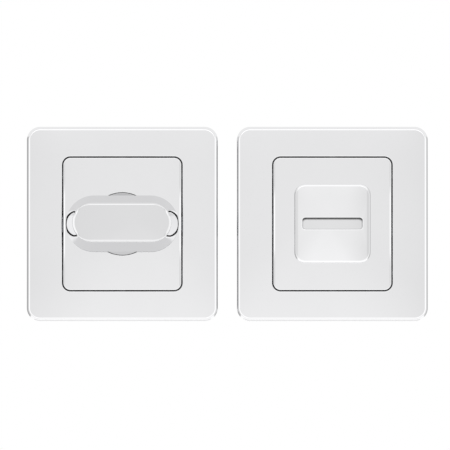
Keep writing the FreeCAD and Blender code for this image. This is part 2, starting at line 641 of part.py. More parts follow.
def wave_washer(half):
    """A sheet ring whose height follows three waves, ruled between its inner and outer edges."""
    waves, stations = 3, 24
    middle = value(f"{WAVE_BACK} + Sizes.wave_height / 2")
    swing = value("Sizes.wave_height - Sizes.wave_thickness") / 2
    edges = []
    for diameter in ("Sizes.shank_diameter + 2 * Sizes.seat_gap", "Sizes.washer_diameter"):
        radius = value(diameter) / 2
        points = []
        for station in range(stations):
            angle = 2 * math.pi * station / stations
            depth = middle - value("Sizes.wave_thickness") / 2 + swing * math.cos(waves * angle)
            points.append(FreeCAD.Vector(radius * math.cos(angle), -depth, radius * math.sin(angle)))
        curve = Part.BSplineCurve()
        curve.interpolate(points, PeriodicFlag=True)
        edges.append(curve.toShape())
    sheet = Part.makeRuledSurface(*edges)
    ring = doc.addObject("Part::Feature", f"{half}_wave_washer")
    ring.Shape = sheet.extrude(FreeCAD.Vector(0, -value("Sizes.wave_thickness"), 0))
    ring.Label = f"{half}_wave_washer"
    if half == "release":
        ring.setExpression(".Placement.Base.x", PITCH)
    parts.append(ring)


def circlip(half):
    """An open ring, widest opposite its two ears, that sits in the shank's groove."""
    body = start(f"{half}_circlip", half)
    inside = "(Sizes.circlip_groove_diameter + 2 * Sizes.circlip_groove_gap)"
    outside_of_ring = f"({inside} + Sizes.circlip_back_width + Sizes.circlip_ear_width)"
    sideways = "-1 * (Sizes.circlip_back_width - Sizes.circlip_ear_width) / 2"
    ring = sketch_on(body, "XZ_Plane", CIRCLIP_BACK)
    draw_circle(ring, outside_of_ring, "0", sideways)
    pad(body, ring, "Sizes.circlip_thickness")
    ears = sketch_on(body, "XZ_Plane", CIRCLIP_BACK)
    ear_height = f"({inside} / 2 + Sizes.circlip_lug_diameter / 2 - Sizes.circlip_groove_gap)"
    places = [(f"{side} * Sizes.circlip_opening / 2", ear_height) for side in (-1, 1)]
    for across, upright in places:
        draw_circle(ears, "Sizes.circlip_lug_diameter", across, upright)
    pad(body, ears, "Sizes.circlip_thickness")
    front = f"{CIRCLIP_BACK} + Sizes.circlip_thickness"
    eye = sketch_on(body, "XZ_Plane", front)
    draw_circle(eye, inside)
    pocket(body, eye)
    opening = sketch_on(body, "XZ_Plane", front)
    draw_box(
        opening,
        "(Sizes.circlip_opening - Sizes.circlip_lug_diameter)",
        outside_of_ring,
        "0",
        f"({outside_of_ring} / 2)",
    )
    pocket(body, opening)
    holes = sketch_on(body, "XZ_Plane", front)
    for across, upright in places:
        draw_circle(holes, "Sizes.circlip_eye_diameter", across, upright)
    pocket(body, holes)


def panel_screws(half):
    """Countersunk screws driven from the plate's back into the panel's pegs."""
    body = start(f"{half}_panel_screws", half)
    slope = "(Sizes.panel_screw_head - Sizes.panel_screw_diameter) / 2"
    heads = sketch_on(body, "XZ_Plane", "Sizes.panel_screw_inset")
    shanks = sketch_on(body, "XZ_Plane", f"Sizes.panel_screw_inset + {slope}")
    for across, upright in PILLARS:
        draw_circle(heads, "Sizes.panel_screw_head", across, upright)
        draw_circle(shanks, "Sizes.panel_screw_diameter", across, upright)
    pad(body, heads, slope, taper="-45")
    pad(body, shanks, f"Sizes.panel_screw_length - {slope}")
    slots = sketch_on(body, "XZ_Plane", "Sizes.panel_screw_inset")
    for across, upright in PILLARS:
        draw_cross(slots, "Sizes.panel_driver_width", "Sizes.panel_driver_length", across, upright)
    pocket(body, slots, "Sizes.panel_driver_depth", forwards=True)


def draw_cross(sketch, width, length, across, upright):
    """The outline of a cross recess, centred at the given place."""
    near, far = f"({width}) / 2", f"({length}) / 2"
    quarters = ((1, 1), (-1, 1), (-1, -1), (1, -1))
    corners = []
    for side, rise in quarters:
        arm = [(far, near), (near, near), (near, far)]
        if side != rise:
            arm.reverse()
        for x, z in arm:
            corners.append((f"{across} + {side} * {x}", f"{upright} + {rise} * {z}"))
    draw_polygon(sketch, corners)


# Thumb turn


def shank_section(sketch, front, neck_front, neck_top):
    """Half section of neck and shank, from the axis out: the neck may narrow towards its front."""
    shank = "Sizes.shank_diameter / 2"
    neck = "Sizes.neck_diameter / 2"
    groove = "Sizes.circlip_groove_diameter / 2"
    groove_front = f"-1 * ({CIRCLIP_BACK} + Sizes.circlip_thickness + Sizes.circlip_groove_gap)"
    groove_back = f"-1 * ({CIRCLIP_BACK} - Sizes.circlip_groove_gap)"
    corners = [
        ("0", f"-1 * {front}"),
        (neck_top, f"-1 * {front}"),
        (neck, f"-1 * {neck_front}"),
        (neck, f"-1 * {NECK_BACK}"),
        (shank, f"-1 * {NECK_BACK}"),
        (shank, groove_front),
        (groove, groove_front),
        (groove, groove_back),
        (shank, groove_back),
        (shank, "Sizes.shank_overhang - Sizes.shank_chamfer"),
        (f"({shank} - Sizes.shank_chamfer)", "Sizes.shank_overhang"),
        ("0", "Sizes.shank_overhang"),
    ]
    draw_polygon(sketch, corners)


def cut_socket(body, depth):
    """The square socket for the spindle, in the end of the shank."""
    opening = sketch_on(body, "XZ_Plane", "-1 * Sizes.shank_overhang")
    draw_box(opening, SOCKET_WIDTH, SOCKET_WIDTH)
    pocket(body, opening, depth, forwards=True)


def drill_for_pin(body):
    """The cross hole for the rolled pin."""
    hole = sketch_on(body, "YZ_Plane")
    draw_circle(hole, "Sizes.pin_diameter + 2 * Sizes.thread_gap", "-1 * Sizes.pin_depth", "0")
    pocket(body, hole, both_ways=True)


def thumb_turn():
    """A flared stadium grip on a conical neck, in one casting with its shank."""
    body = start("thumb_turn_knob")
    section = sketch_on(body, "XY_Plane")
    shank_section(section, GRIP_BASE, FRONT, "Sizes.neck_top_diameter / 2")
    revolve(body, section)
    base = sketch_on(body, "XZ_Plane", GRIP_BASE)
    draw_stadium(base, "Sizes.grip_length", "Sizes.grip_width")
    face = sketch_on(body, "XZ_Plane", GRIP_FRONT)
    draw_stadium(face, "Sizes.grip_top_length", "Sizes.grip_top_width")
    grip = body.newObject("PartDesign::AdditiveLoft", "grip")
    grip.Profile = base
    grip.Sections = [face]
    grip.Ruled = True
    doc.recompute()
    front, back = value(GRIP_FRONT), value(GRIP_BASE)
    neck = value("Sizes.neck_top_diameter")
    dress(body, "Fillet", "Radius", "Sizes.grip_rim_round", lambda edge: at_depth(edge, front))
    dress(
        body,
        "Fillet",
        "Radius",
        "Sizes.grip_base_round",
        lambda edge: at_depth(edge, back) and outside(edge, neck, neck),
    )
    cut_socket(body, "Sizes.turn_socket_depth")
    drill_for_pin(body)


def spindle():
    body = start("turn_spindle")
    bar = sketch_on(body, "XZ_Plane", f"{SOCKET_END} - Sizes.seat_gap")
    draw_box(bar, "Sizes.spindle_width", "Sizes.spindle_width")
    pad(body, bar, "Sizes.spindle_length", backwards=True)
    width = value("Sizes.spindle_width")
    dress(
        body,
        "Chamfer",
        "Size",
        "Sizes.spindle_edge",
        lambda edge: edge.Length > width + SAME_PLACE,
    )
    drill_for_pin(body)


def rolled_pin():
    """A rolled spring pin: a slit tube across the shank, kept in place by the bush round it."""
    body = start("turn_rolled_pin")
    ring = sketch_on(body, "YZ_Plane")
    draw_circle(ring, "Sizes.pin_diameter", "-1 * Sizes.pin_depth", "0")
    draw_circle(ring, "Sizes.pin_diameter - 2 * Sizes.pin_wall", "-1 * Sizes.pin_depth", "0")
    pad(body, ring, "Sizes.pin_length", both_ways=True)
    slit = sketch_on(body, "XZ_Plane", "Sizes.pin_depth")
    draw_box(slit, "Sizes.pin_length", "Sizes.pin_slit")
    pocket(body, slit, "Sizes.pin_diameter", forwards=True)


def fixing_bolts():
    """Pan head bolts that pass through the door to the posts of the other half."""
    body = start("turn_fixing_bolts")
    seats = sketch_on(body, "XZ_Plane", BOSS_FRONT)
    shanks = sketch_on(body, "XZ_Plane", BOSS_FRONT)
    threads = sketch_on(body, "XZ_Plane", BOSS_FRONT)
    for across, upright in BOLTS:
        draw_circle(seats, "Sizes.bolt_head_diameter", across, upright)
        draw_circle(shanks, "Sizes.bolt_diameter", across, upright)
        draw_circle(threads, "Sizes.bolt_thread_diameter", across, upright)
    pad(body, seats, "Sizes.bolt_head_height")
    head_front = value(f"{BOSS_FRONT} + Sizes.bolt_head_height")
    dress(
        body, "Fillet", "Radius", "Sizes.bolt_head_round", lambda edge: at_depth(edge, head_front)
    )
    pad(body, shanks, "Sizes.bolt_length - Sizes.bolt_thread_length", backwards=True)
    pad(body, threads, "Sizes.bolt_length", backwards=True)
    recess = sketch_on(body, "XZ_Plane", f"{BOSS_FRONT} + Sizes.bolt_head_height")
    for across, upright in BOLTS:
        draw_cross(recess, "Sizes.driver_width", "Sizes.driver_length", across, upright)
    pocket(body, recess, "Sizes.driver_depth")
    tip = value(f"{BOSS_FRONT} - Sizes.bolt_length")
    dress(body, "Chamfer", "Size", "Sizes.shank_chamfer", lambda edge: at_depth(edge, tip))


# Release


def release_button():
    """A near-square button with a coin slot across its face, in one casting with its shank."""
    body = start("release_button", "release")
    section = sketch_on(body, "XY_Plane")
    shank_section(section, BUTTON_BACK, FRONT, "Sizes.neck_diameter / 2")
    revolve(body, section)
    face = sketch_on(body, "XZ_Plane", BUTTON_BACK)
    draw_rounded_box(face, "Sizes.button_width", "Sizes.button_height", "Sizes.button_corner")
    pad(body, face, "Sizes.button_thickness")
    front = value(BUTTON_FRONT)
    dress(body, "Fillet", "Radius", "Sizes.button_edge_round", lambda edge: at_depth(edge, front))
    slot = sketch_on(body, "XZ_Plane", BUTTON_FRONT)
    draw_rounded_box(slot, "Sizes.slot_length", "Sizes.slot_width", "Sizes.slot_corner")
    pocket(body, slot, "Sizes.slot_depth")
    long_way, short_way = value("Sizes.slot_length"), value("Sizes.slot_width")
    dress(
        body,
        "Fillet",
        "Radius",
        "Sizes.slot_edge_round",
        lambda edge: at_depth(edge, front) and not outside(edge, long_way, short_way),
    )
    cut_socket(body, "Sizes.release_socket_depth")


def threaded_posts():
    """Flanged posts, tapped from their far ends, which take the fixing bolts inside the door."""
    body = start("release_threaded_posts", "release")
    flanges = sketch_on(body, "XZ_Plane", BOSS_FRONT)
    shafts = sketch_on(body, "XZ_Plane", BOSS_FRONT)
    bores = sketch_on(body, "XZ_Plane", f"{BOSS_FRONT} - Sizes.post_length")
    for across, upright in BOLTS:
        draw_circle(flanges, "Sizes.post_flange_diameter", across, upright)
        draw_circle(shafts, "Sizes.post_diameter", across, upright)
        draw_circle(bores, "Sizes.post_bore_diameter", across, upright)
    pad(body, flanges, "Sizes.post_flange_height")
    pad(body, shafts, "Sizes.post_length", backwards=True)
    pocket(body, bores, "Sizes.post_bore_depth", forwards=True)
    mouth = value(f"{BOSS_FRONT} - Sizes.post_length")
    dress(body, "Chamfer", "Size", "Sizes.shank_chamfer", lambda edge: at_depth(edge, mouth))


BOLT_HOLE = "Sizes.bolt_diameter + 2 * Sizes.bolt_hole_gap"
POST_HOLE = "Sizes.post_diameter + 2 * Sizes.seat_gap"
for half, fixing_hole in (("turn", BOLT_HOLE), ("release", POST_HOLE)):
    rose_cover(half)
    centre_panel(half)
    fixing_plate(half, fixing_hole)
    cover_clips(half)
    panel_screws(half)
    bush(half)
    thrust_washer(half)
    wave_washer(half)
    circlip(half)
thumb_turn()
spindle()
rolled_pin()
fixing_bolts()
release_button()
threaded_posts()
doc.recompute()

for item in doc.Objects:
    if "Invalid" in item.State or "Error" in item.State:
        raise RuntimeError(f"{item.Label} could not be made: {item.State}")
for part in parts:
    if part.Shape.isNull() or not part.Shape.isValid():
        raise RuntimeError(f"{part.Label} has no valid shape")

os.makedirs("parts", exist_ok=True)
for part in parts:
    part.Shape.exportStep(f"parts/{part.Label}.step")
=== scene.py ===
# Finish, studio and camera for the bathroom thumb turn and release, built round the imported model.
# Units are metres. Fronts face -Y, the door face is y = 0, and depths count from the door towards the front.
import json
import math

import bmesh
import bpy
from mathutils import Matrix, Vector


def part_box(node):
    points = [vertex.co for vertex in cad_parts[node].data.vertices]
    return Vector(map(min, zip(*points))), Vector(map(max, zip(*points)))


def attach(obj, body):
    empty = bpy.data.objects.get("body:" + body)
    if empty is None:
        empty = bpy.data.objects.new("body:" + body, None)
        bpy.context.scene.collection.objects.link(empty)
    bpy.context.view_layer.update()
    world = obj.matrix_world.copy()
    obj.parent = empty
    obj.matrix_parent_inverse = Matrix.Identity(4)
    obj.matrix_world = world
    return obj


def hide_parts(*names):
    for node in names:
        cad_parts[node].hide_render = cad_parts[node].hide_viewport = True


bl_info = {
    "name": "Bathroom Thumb Turn and Release",
    "version": (1, 0, 0),
    "blender": (4, 5, 0),
    "location": "View3D > Sidebar > Lock set",
    "description": "Polished surfaces, threads, finishes and studio for a bathroom thumb turn set",
    "category": "Object",
}

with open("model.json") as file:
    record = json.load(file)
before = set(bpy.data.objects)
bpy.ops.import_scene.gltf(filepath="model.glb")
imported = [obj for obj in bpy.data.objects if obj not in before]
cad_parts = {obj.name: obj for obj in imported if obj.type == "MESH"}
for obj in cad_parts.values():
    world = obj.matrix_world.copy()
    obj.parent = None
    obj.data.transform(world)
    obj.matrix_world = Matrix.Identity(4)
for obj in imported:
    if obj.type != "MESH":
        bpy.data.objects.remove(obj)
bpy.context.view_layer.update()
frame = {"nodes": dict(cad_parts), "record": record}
MM = 0.001
HALVES = ("turn", "release")
CORNER_STEPS = 20
ROUND_STEPS = 10
TAPER_STEPS = 8
THREAD_STEPS = 20
SHELF = 0.05 * MM
SHELF_RISE = 0.0005 * MM
WIDE_RING = 3 * SHELF
HAIR = 1e-7
SMOOTH_BELOW = math.radians(28)
WEIGHT_OF_WIDE_FACES = 100

# Settings that many nodes share
COLOURS_BLENDED = {"data_type": "RGBA"}
COLOURS_MULTIPLIED = {"data_type": "RGBA", "blend_type": "MULTIPLY"}
NUMBERS_BLENDED = {"data_type": "FLOAT"}
SMOOTH_STEP = {"interpolation_type": "SMOOTHSTEP"}

# Chrome: the size of its haze clouds, how far they go in noise, roughness and tone
HAZE_SIZE = 6 * MM
HAZE_NOISE = (0.3, 0.7)
HAZE_ROUGHNESS = (0.015, 0.035)
HAZE_TONES = (0.99, 1.01)

# Where the rounding of the grip's face sets in and is full, as angles off its long way
END_SECTOR = (math.radians(55), math.radians(20))

# The coin slot's painted shadow: how far up the light that it stands in for comes from, the open share of
# that sky at which the slot is darkest and brightest, those two tones, and the downward lean at which its
# edge gets no light
SLOT_LEAN = math.radians(55)
SLOT_OPEN = (0.35, 0.8)
SLOT_SHADOW_TONES = (0.05, 0.9)
SLOT_OVERHANG = -0.35
SKY_SAMPLES = 16

# Matt metals and nylon: tones at the two ends of their grain
METAL_TONES = (0.88, 1.1)
NYLON_TONES = (0.95, 1)
FLOOR_TONES = (0.98, 1)

# The picture: its side, its centre and the thumb turn's axis in it in pixels, and the lens
PICTURE_SIDE = 450
PICTURE_CENTRE = 225
TURN_IN_PICTURE = (122.3, 223.87)
SENSOR = 36
CLIP_NEAR, CLIP_FAR = 0.1, 20


def node_axis(half):
    """Where the half's axis meets the door face, from its bush."""
    low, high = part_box(f"{half}_bush")
    return Vector(((low.x + high.x) / 2, 0, (low.z + high.z) / 2))


def node_size(node):
    """Width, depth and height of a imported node."""
    low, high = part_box(node)
    return high - low


def front_of(node):
    """Depth of a node's front, counted from the door face."""
    return -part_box(node)[0].y


def back_of(node):
    """Depth of a node's back, negative where it stands out behind the door face."""
    return -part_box(node)[1].y


# Sizes and colours that a user may change


def length(name, description, millimetres):
    """A size that a user may change, its default given in millimetres."""
    return bpy.props.FloatProperty(
        name=name, description=description, default=millimetres * MM, unit="LENGTH", subtype="DISTANCE"
    )


def share(name, description, number):
    """A part of one that a user may change."""
    return bpy.props.FloatProperty(
        name=name, description=description, default=number, min=0, subtype="FACTOR"
    )


def colour(name, description, red_green_blue):
    """A colour that a user may change, its default linear."""
    return bpy.props.FloatVectorProperty(
        name=name, description=description, default=red_green_blue, size=3, min=0, max=1, subtype="COLOR"
    )


def linear(hex_colour):
    """Linear colour of an sRGB hex value."""
    channels = [int(hex_colour[place : place + 2], 16) / 255 for place in (1, 3, 5)]
    return tuple(c / 12.92 if c <= 0.04045 else ((c + 0.055) / 1.055) ** 2.4 for c in channels)


class LockRoseSizes(bpy.types.PropertyGroup):
    corner: length("Corner", "Radius of the cover's corners, seen from the front", 3.7)
    edge_round: length("Edge round", "Round along the cover's front edge", 0.9)
    wall: length("Wall", "Thickness of the cover's walls", 1.2)
    bead_length: length("Bead length", "Catch bead inside the cover's top and bottom walls", 30.0)
    bead_height: length("Bead height", "How far the catch bead stands in from the wall", 0.35)
    bead_depth: length("Bead depth", "Depth of the catch bead's crest", 1.1)
    lip_depth: length("Lip depth", "How far the window's lip reaches back", 3.0)
    lip_wall: length("Lip wall", "Thickness of the window's lip", 1.0)
    window_gap: length("Window gap", "Line between panel and window", 0.35)
    window_round: length("Window round", "Round along the front edges of panel and window", 0.15)
    bore_round: length("Bore round", "Round along the front edge of the panel's bore", 0.03)
    panel_corner: length("Panel corner", "Radius of the centre panel's corners", 2.0)
    panel_thickness: length("Panel thickness", "Thickness of the centre panel", 2.2)
    panel_bore: length("Panel bore", "Bore of the centre panel round the neck", 17.57)
    peg: length("Peg", "Diameter of the pegs behind the panel", 5.0)
    peg_across: length("Peg across", "Pegs from the axis, across", 11.5)
    peg_upright: length("Peg upright", "Pegs from the axis, upright", 13.5)
    tap: length("Tapped hole", "Tapped hole in each peg", 3.04)
    tap_depth: length("Tap depth", "Depth of the tapped holes", 3.2)
    crown_across: length("Crown across", "Radius to which polishing domes the front, across", 1500.0)
    crown_upright: length("Crown upright", "Radius to which polishing domes the front, upright", 1500.0)
    roll_off: length("Roll-off", "How far polishing rounds the panel's face away at its sides", 0.075)
    roll_off_width: length("Roll-off width", "How far in from its sides the face is rounded away", 0.5)
    roll_off_height: length("Roll-off height", "How far from the axis, upright, that falls off", 13.0)
    roll_off_least: share("Roll-off left", "How much of it is left there", 0.35)
    roll_off_power: share("Roll-off power", "How late it sets in, 1 for an even slope", 1.0)


class LockShankSizes(bpy.types.PropertyGroup):
    neck: length("Neck", "Diameter of the neck at the panel", 17.45)
    neck_top: length("Neck top", "Diameter of the turn's neck under its grip", 15.0)
    shank: length("Shank", "Diameter of the shank in the bush", 10.0)
    chamfer: length("Chamfer", "Chamfer at the shank's end", 0.5)
    groove: length("Groove", "Diameter at the bottom of the circlip's groove", 9.4)
    groove_play: length("Groove play", "Play of the circlip in its groove", 0.05)
    socket: length("Socket", "Width of the square socket", 5.06)
    socket_corner: length("Socket corner", "Radius in the socket's corners", 0.15)


class LockGripSizes(bpy.types.PropertyGroup):
    top_length: length("Top length", "Front face of the grip, long way", 27.3)
    top_width: length("Top width", "Front face of the grip, short way", 10.8)
    base_length: length("Base length", "Base of the grip, long way", 31.3)
    base_width: length("Base width", "Base of the grip, short way", 15.6)
    lift: length("Lift", "From the panel's face to the grip's base", 2.6)
    rim_round: length("Rim round", "Round along the front edge of the grip's long sides", 0.65)
    rim_round_ends: length("Rim round at the ends", "The same round where it passes the grip's ends", 0.12)
    roll_off: length("Roll-off", "How far polishing rounds the face away at its two ends", 0.09)
    roll_off_width: length("Roll-off width", "How far in from its ends the face is rounded away", 0.6)
    crown_across: length("Crown across", "Radius to which polishing domes the face, across", 900.0)
    crown_upright: length("Crown upright", "Radius to which polishing domes the face, upright", 500.0)
    base_round: length("Base round", "Round along the grip's base edge", 0.03)
    # painted shade: how far the neck under the grip is darkened
    neck_shade_tone: share("Neck tone", "How bright the plate is on the neck, which no wheel polishes", 0.77)
    socket_depth: length("Socket depth", "Depth of the square socket", 12.0)


class LockButtonSizes(bpy.types.PropertyGroup):
    corner: length("Corner", "Radius of the button's corners", 3.05)
    edge_round: length("Edge round", "Round along the button's front edge", 0.55)
    crown_across: length("Crown across", "Radius to which polishing domes the face, across", 340.0)
    crown_upright: length("Crown upright", "Radius to which polishing domes the face, upright", 480.0)
    roll_off: length("Roll-off", "How far polishing rounds the face away at its sides", 0.018)
    roll_off_width: length("Roll-off width", "How far in from its sides the face is rounded away", 1.0)
    roll_off_height: length("Roll-off height", "How far from the axis, upright, that falls off", 14.0)
    roll_off_least: share("Roll-off left", "How much of it is left there", 0.0)
    roll_off_power: share("Roll-off power", "How late it sets in, 1 for an even slope", 2.0)
    lift: length("Lift", "Gap between button and panel", 0.3)
    # painted shade: the button's face is darkened along its two sides
    side_shade_width: length("Dull width", "How far in from its sides the plate has dulled", 1.2)
    side_shade_tone: share("Dull tone", "How bright the plate is along the sides", 0.8)
    slot_length: length("Slot length", "Coin slot, long way", 16.6)
    slot_width: length("Slot width", "Coin slot, short way", 3.05)
    slot_depth: length("Slot depth", "Depth of the coin slot", 2.0)
    slot_corner: length("Slot corner", "Radius of the coin slot's corners", 0.8)
    slot_round: length("Slot round", "Round along the coin slot's edge", 0.22)
    # painted shadow: how far the coin slot's painted shadow reaches down from its upper wall
    slot_shadow: length("Slot shadow", "How far the slot's upper wall casts its shadow", 0.7)
    socket_depth: length("Socket depth", "Depth of the square socket", 10.0)


class LockThreadSizes(bpy.types.PropertyGroup):
    major: length("Major diameter", "Outside of the bolts' thread", 4.0)
    core: length("Core diameter", "Core of the bolts' thread", 3.24)
    pitch: length("Pitch", "Pitch of the bolts' thread", 0.7)
    run: length("Run", "Threaded length of a bolt", 28.0)
    foot: length("Foot", "Width of the thread's ridge at its foot", 0.42)
    crest: length("Crest", "Width of the ridge's flat crest", 0.084)
    tip: length("Tip", "Plain chamfer at the bolt's tip", 0.5)
    head: length("Head", "Diameter of the bolts' pan heads", 8.0)


class LockFinishColours(bpy.types.PropertyGroup):
    chrome: colour("Chrome", "Polished chrome plate", linear("#E6E6E7"))
    # painted light: the button's chrome is a brighter copy of the same chrome, standing in for how light
    # falls on it
    lit_chrome_button: colour(
        "Button chrome", "Chrome plate of the release button, a shade brighter", linear("#ECECED")
    )
    # painted shade: the grip's chrome is a darker copy of the same chrome, standing in for how light falls on
    # it
    shaded_chrome_grip: colour("Grip chrome", "Chrome plate of the thumb grip, a shade darker", linear("#DDDDDE"))
    zinc: colour("Zinc alloy", "Bare die-cast zinc alloy", linear("#A3A5A8"))
    steel: colour("Drawn steel", "Cold drawn steel bar", linear("#B9B9B7"))
    spring: colour("Spring steel", "Hardened and oiled spring steel", linear("#5A5B60"))
    plated: colour("Zinc plate", "Passivated zinc plate", linear("#A4A7AB"))
    nylon: colour("Nylon", "Natural moulded nylon", linear("#E6E2D3"))
    floor: colour("Floor", "Plain pale floor", linear("#FAFAFA"))


class LockStudioSettings(bpy.types.PropertyGroup):
    camera_distance: bpy.props.FloatProperty(
        name="Camera distance",
        description="From the covers' fronts to the camera",
        default=3.0,
        unit="LENGTH",
    )
    camera_tilt: bpy.props.FloatProperty(
        name="Camera tilt",
        description="How far the camera looks up at the roses",
        default=math.radians(1.8),
        subtype="ANGLE",
    )
    pixel: length("Pixel", "Width of one pixel of the picture at the covers' fronts", 0.2775)
    floor_drop: length("Floor drop", "How far the floor lies below the axes", 1000.0)
    floor_reach: length("Floor reach", "Half the side of the square floor", 600.0)
    floor_front: length("Floor front", "How far the floor reaches in front of the door face", 250.0)


# Small tools for meshes. A mesh is drawn in millimetres, because the fill operator takes points that lie
# under 0.03 of a unit apart for one, and is brought to metres when it is finished.


def rounded_loop(bm, axis, width, height, corner, depth):
    """Edges of a rounded rectangle at this depth. Corners of half the width make it a circle or a stadium."""
    before = set(bm.edges)
    corners = [
        bm.verts.new(Vector((axis.x + side * width / 2, -depth, axis.z + rise * height / 2)) / MM)
        for side, rise in ((1, 1), (-1, 1), (-1, -1), (1, -1))
    ]
    bm.faces.new(corners)
    bmesh.ops.bevel(
        bm,
        geom=corners,
        offset=min(corner, width / 2 - HAIR, height / 2 - HAIR) / MM,
        offset_type="OFFSET",
        segments=CORNER_STEPS,
        profile=0.5,
        affect="VERTICES",
        material=-1,
    )
    edges = [edge for edge in bm.edges if edge not in before]
    faces = list({face for edge in edges for face in edge.link_faces})
    bmesh.ops.delete(bm, geom=faces, context="FACES_ONLY")
    return edges


def skin(bm, axis, sections, closed=False):
    """Joins rounded rectangles, given as (width, height, corner, depth), by walls and flat rings."""
    loops = [rounded_loop(bm, axis, *section) for section in sections]
    last = len(sections) if closed else len(sections) - 1
    for place in range(last):
        here, there = place, (place + 1) % len(sections)
        edges = loops[here] + loops[there]
        flat = abs(sections[here][3] - sections[there][3]) < HAIR
        wide = abs(sections[here][0] - sections[there][0]) > WIDE_RING
        if flat and wide:
            bmesh.ops.triangle_fill(bm, edges=edges, normal=(0, -1, 0), use_beauty=True)
        else:
            bmesh.ops.bridge_loops(bm, edges=edges)
    return loops


def cap(bm, loop):
    """Closes the end of a skin with one flat face."""
    bmesh.ops.contextual_create(bm, geom=loop)


def rounding(width, height, corner, depth, radius, outward=True, steps=ROUND_STEPS):
    """Sections of a round along a front edge: of an outline, or of a window where outward is False.

    A narrow flat shelf follows the round, so that the wide face beside it stays flat when it is shaded.
    It lies a hair above the round, because bridging takes its way round from the step between two loops.
    """
    places = []
    for step in range(steps + 1):
        angle = math.pi / 2 * step / steps
        drop = SHELF_RISE + radius * (1 - math.sin(angle))
        places.append((radius * (1 - math.cos(angle)), depth - drop))
    places.append((radius + SHELF, depth))
    way = 1 if outward else -1
    sections = [
        (width - 2 * way * inset, height - 2 * way * inset, corner - way * inset, level)
        for inset, level in places
    ]
    return sections[::way]


def circle(diameter, depth):
    """A round section."""
    return diameter, diameter, diameter / 2, depth


def finished(name, bm, body, nodes, material):
    """Makes the piece from its bmesh and gives it smooth faces, sharp corners, body, slot and material."""
    bmesh.ops.remove_doubles(bm, verts=bm.verts, dist=HAIR / MM)
    bmesh.ops.recalc_face_normals(bm, faces=bm.faces)
    bmesh.ops.scale(bm, vec=(MM, MM, MM), verts=bm.verts)
    mesh = bpy.data.meshes.new(name)
    bm.to_mesh(mesh)
    bm.free()
    for face in mesh.polygons:
        face.use_smooth = True
    mesh.set_sharp_from_angle(angle=SMOOTH_BELOW)
    piece = bpy.data.objects.new(name, mesh)
    bpy.context.scene.collection.objects.link(piece)
    weighted = piece.modifiers.new("Flat faces stay flat", "WEIGHTED_NORMAL")
    weighted.keep_sharp = True
    weighted.weight = WEIGHT_OF_WIDE_FACES
    mesh.materials.append(material)
    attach(piece, body)
    if nodes:
        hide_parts(*nodes)


# Materials


def add(tree, kind, settings=None, inputs=()):
    """Adds a node with its settings. Its inputs, by name or in order, take values or other outputs."""
    node = tree.nodes.new(kind)
    for key, setting in (settings or {}).items():
        setattr(node, key, setting)
    for key, given in inputs.items() if isinstance(inputs, dict) else enumerate(inputs):
        if isinstance(given, bpy.types.NodeSocket):
            tree.links.new(given, node.inputs[key])
        else:
            node.inputs[key].default_value = given
    return node


def new_material(name):
    """A material with an empty tree, and the place on the object that its patterns are laid out by."""
    material = bpy.data.materials.new(name)
    material.use_nodes = True
    material.node_tree.nodes.clear()
    place = add(material.node_tree, "ShaderNodeTexCoord").outputs["Object"]
    return material, material.node_tree, place


def shade(colour_here, brightness):
    """The colour at this brightness, as a socket takes it."""
    return (*[min(1, channel * brightness) for channel in colour_here], 1)


def from_own_axis(tree, place, pitch):
    """The place counted from the axis of the rose that it lies on."""
    ends = ((pitch / 2, 1, 1), (-pitch / 2, -1, -1))
    return add(tree, "ShaderNodeVectorMath", {"operation": "WRAP"}, (place, *ends)).outputs["Vector"]


def unsigned_parts(tree, vector):
    """Across, depth and upright of a vector, without their signs."""
    offsets = add(tree, "ShaderNodeVectorMath", {"operation": "ABSOLUTE"}, (vector,)).outputs[0]
    return add(tree, "ShaderNodeSeparateXYZ", {}, (offsets,)).outputs


def crown(tree, own_place, sizes):
    """Height of a face that polishing has left slightly domed."""
    scale = (1 / math.sqrt(2 * sizes.crown_across), 0, 1 / math.sqrt(2 * sizes.crown_upright))
    scaled = add(tree, "ShaderNodeVectorMath", {"operation": "MULTIPLY"}, (own_place, scale)).outputs[0]
    fall = add(tree, "ShaderNodeVectorMath", {"operation": "DOT_PRODUCT"}, (scaled, scaled))
    return add(tree, "ShaderNodeMath", {"operation": "MULTIPLY"}, (fall.outputs["Value"], -1)).outputs[0]


def rolled_sides(tree, own_place, half_width, sizes):
    """Crowned height of a face whose sides polishing has also rolled off, most at mid height."""
    across, _, upright = unsigned_parts(tree, own_place)
    edge = {"Value": across, "From Min": half_width - sizes.roll_off_width, "From Max": half_width}
    side = add(tree, "ShaderNodeMapRange", {}, edge).outputs["Result"]
    rise = {
        "Value": upright,
        "From Max": sizes.roll_off_height,
        "To Min": 1,
        "To Max": sizes.roll_off_least,
    }
    belly = add(tree, "ShaderNodeMapRange", SMOOTH_STEP, rise).outputs["Result"]
    curve = add(tree, "ShaderNodeMath", {"operation": "POWER"}, (side, sizes.roll_off_power)).outputs[0]
    drop = add(tree, "ShaderNodeMath", {"operation": "MULTIPLY"}, (curve, belly)).outputs[0]
    sunk = (drop, -sizes.roll_off, crown(tree, own_place, sizes))
    return add(tree, "ShaderNodeMath", {"operation": "MULTIPLY_ADD"}, sunk).outputs[0]


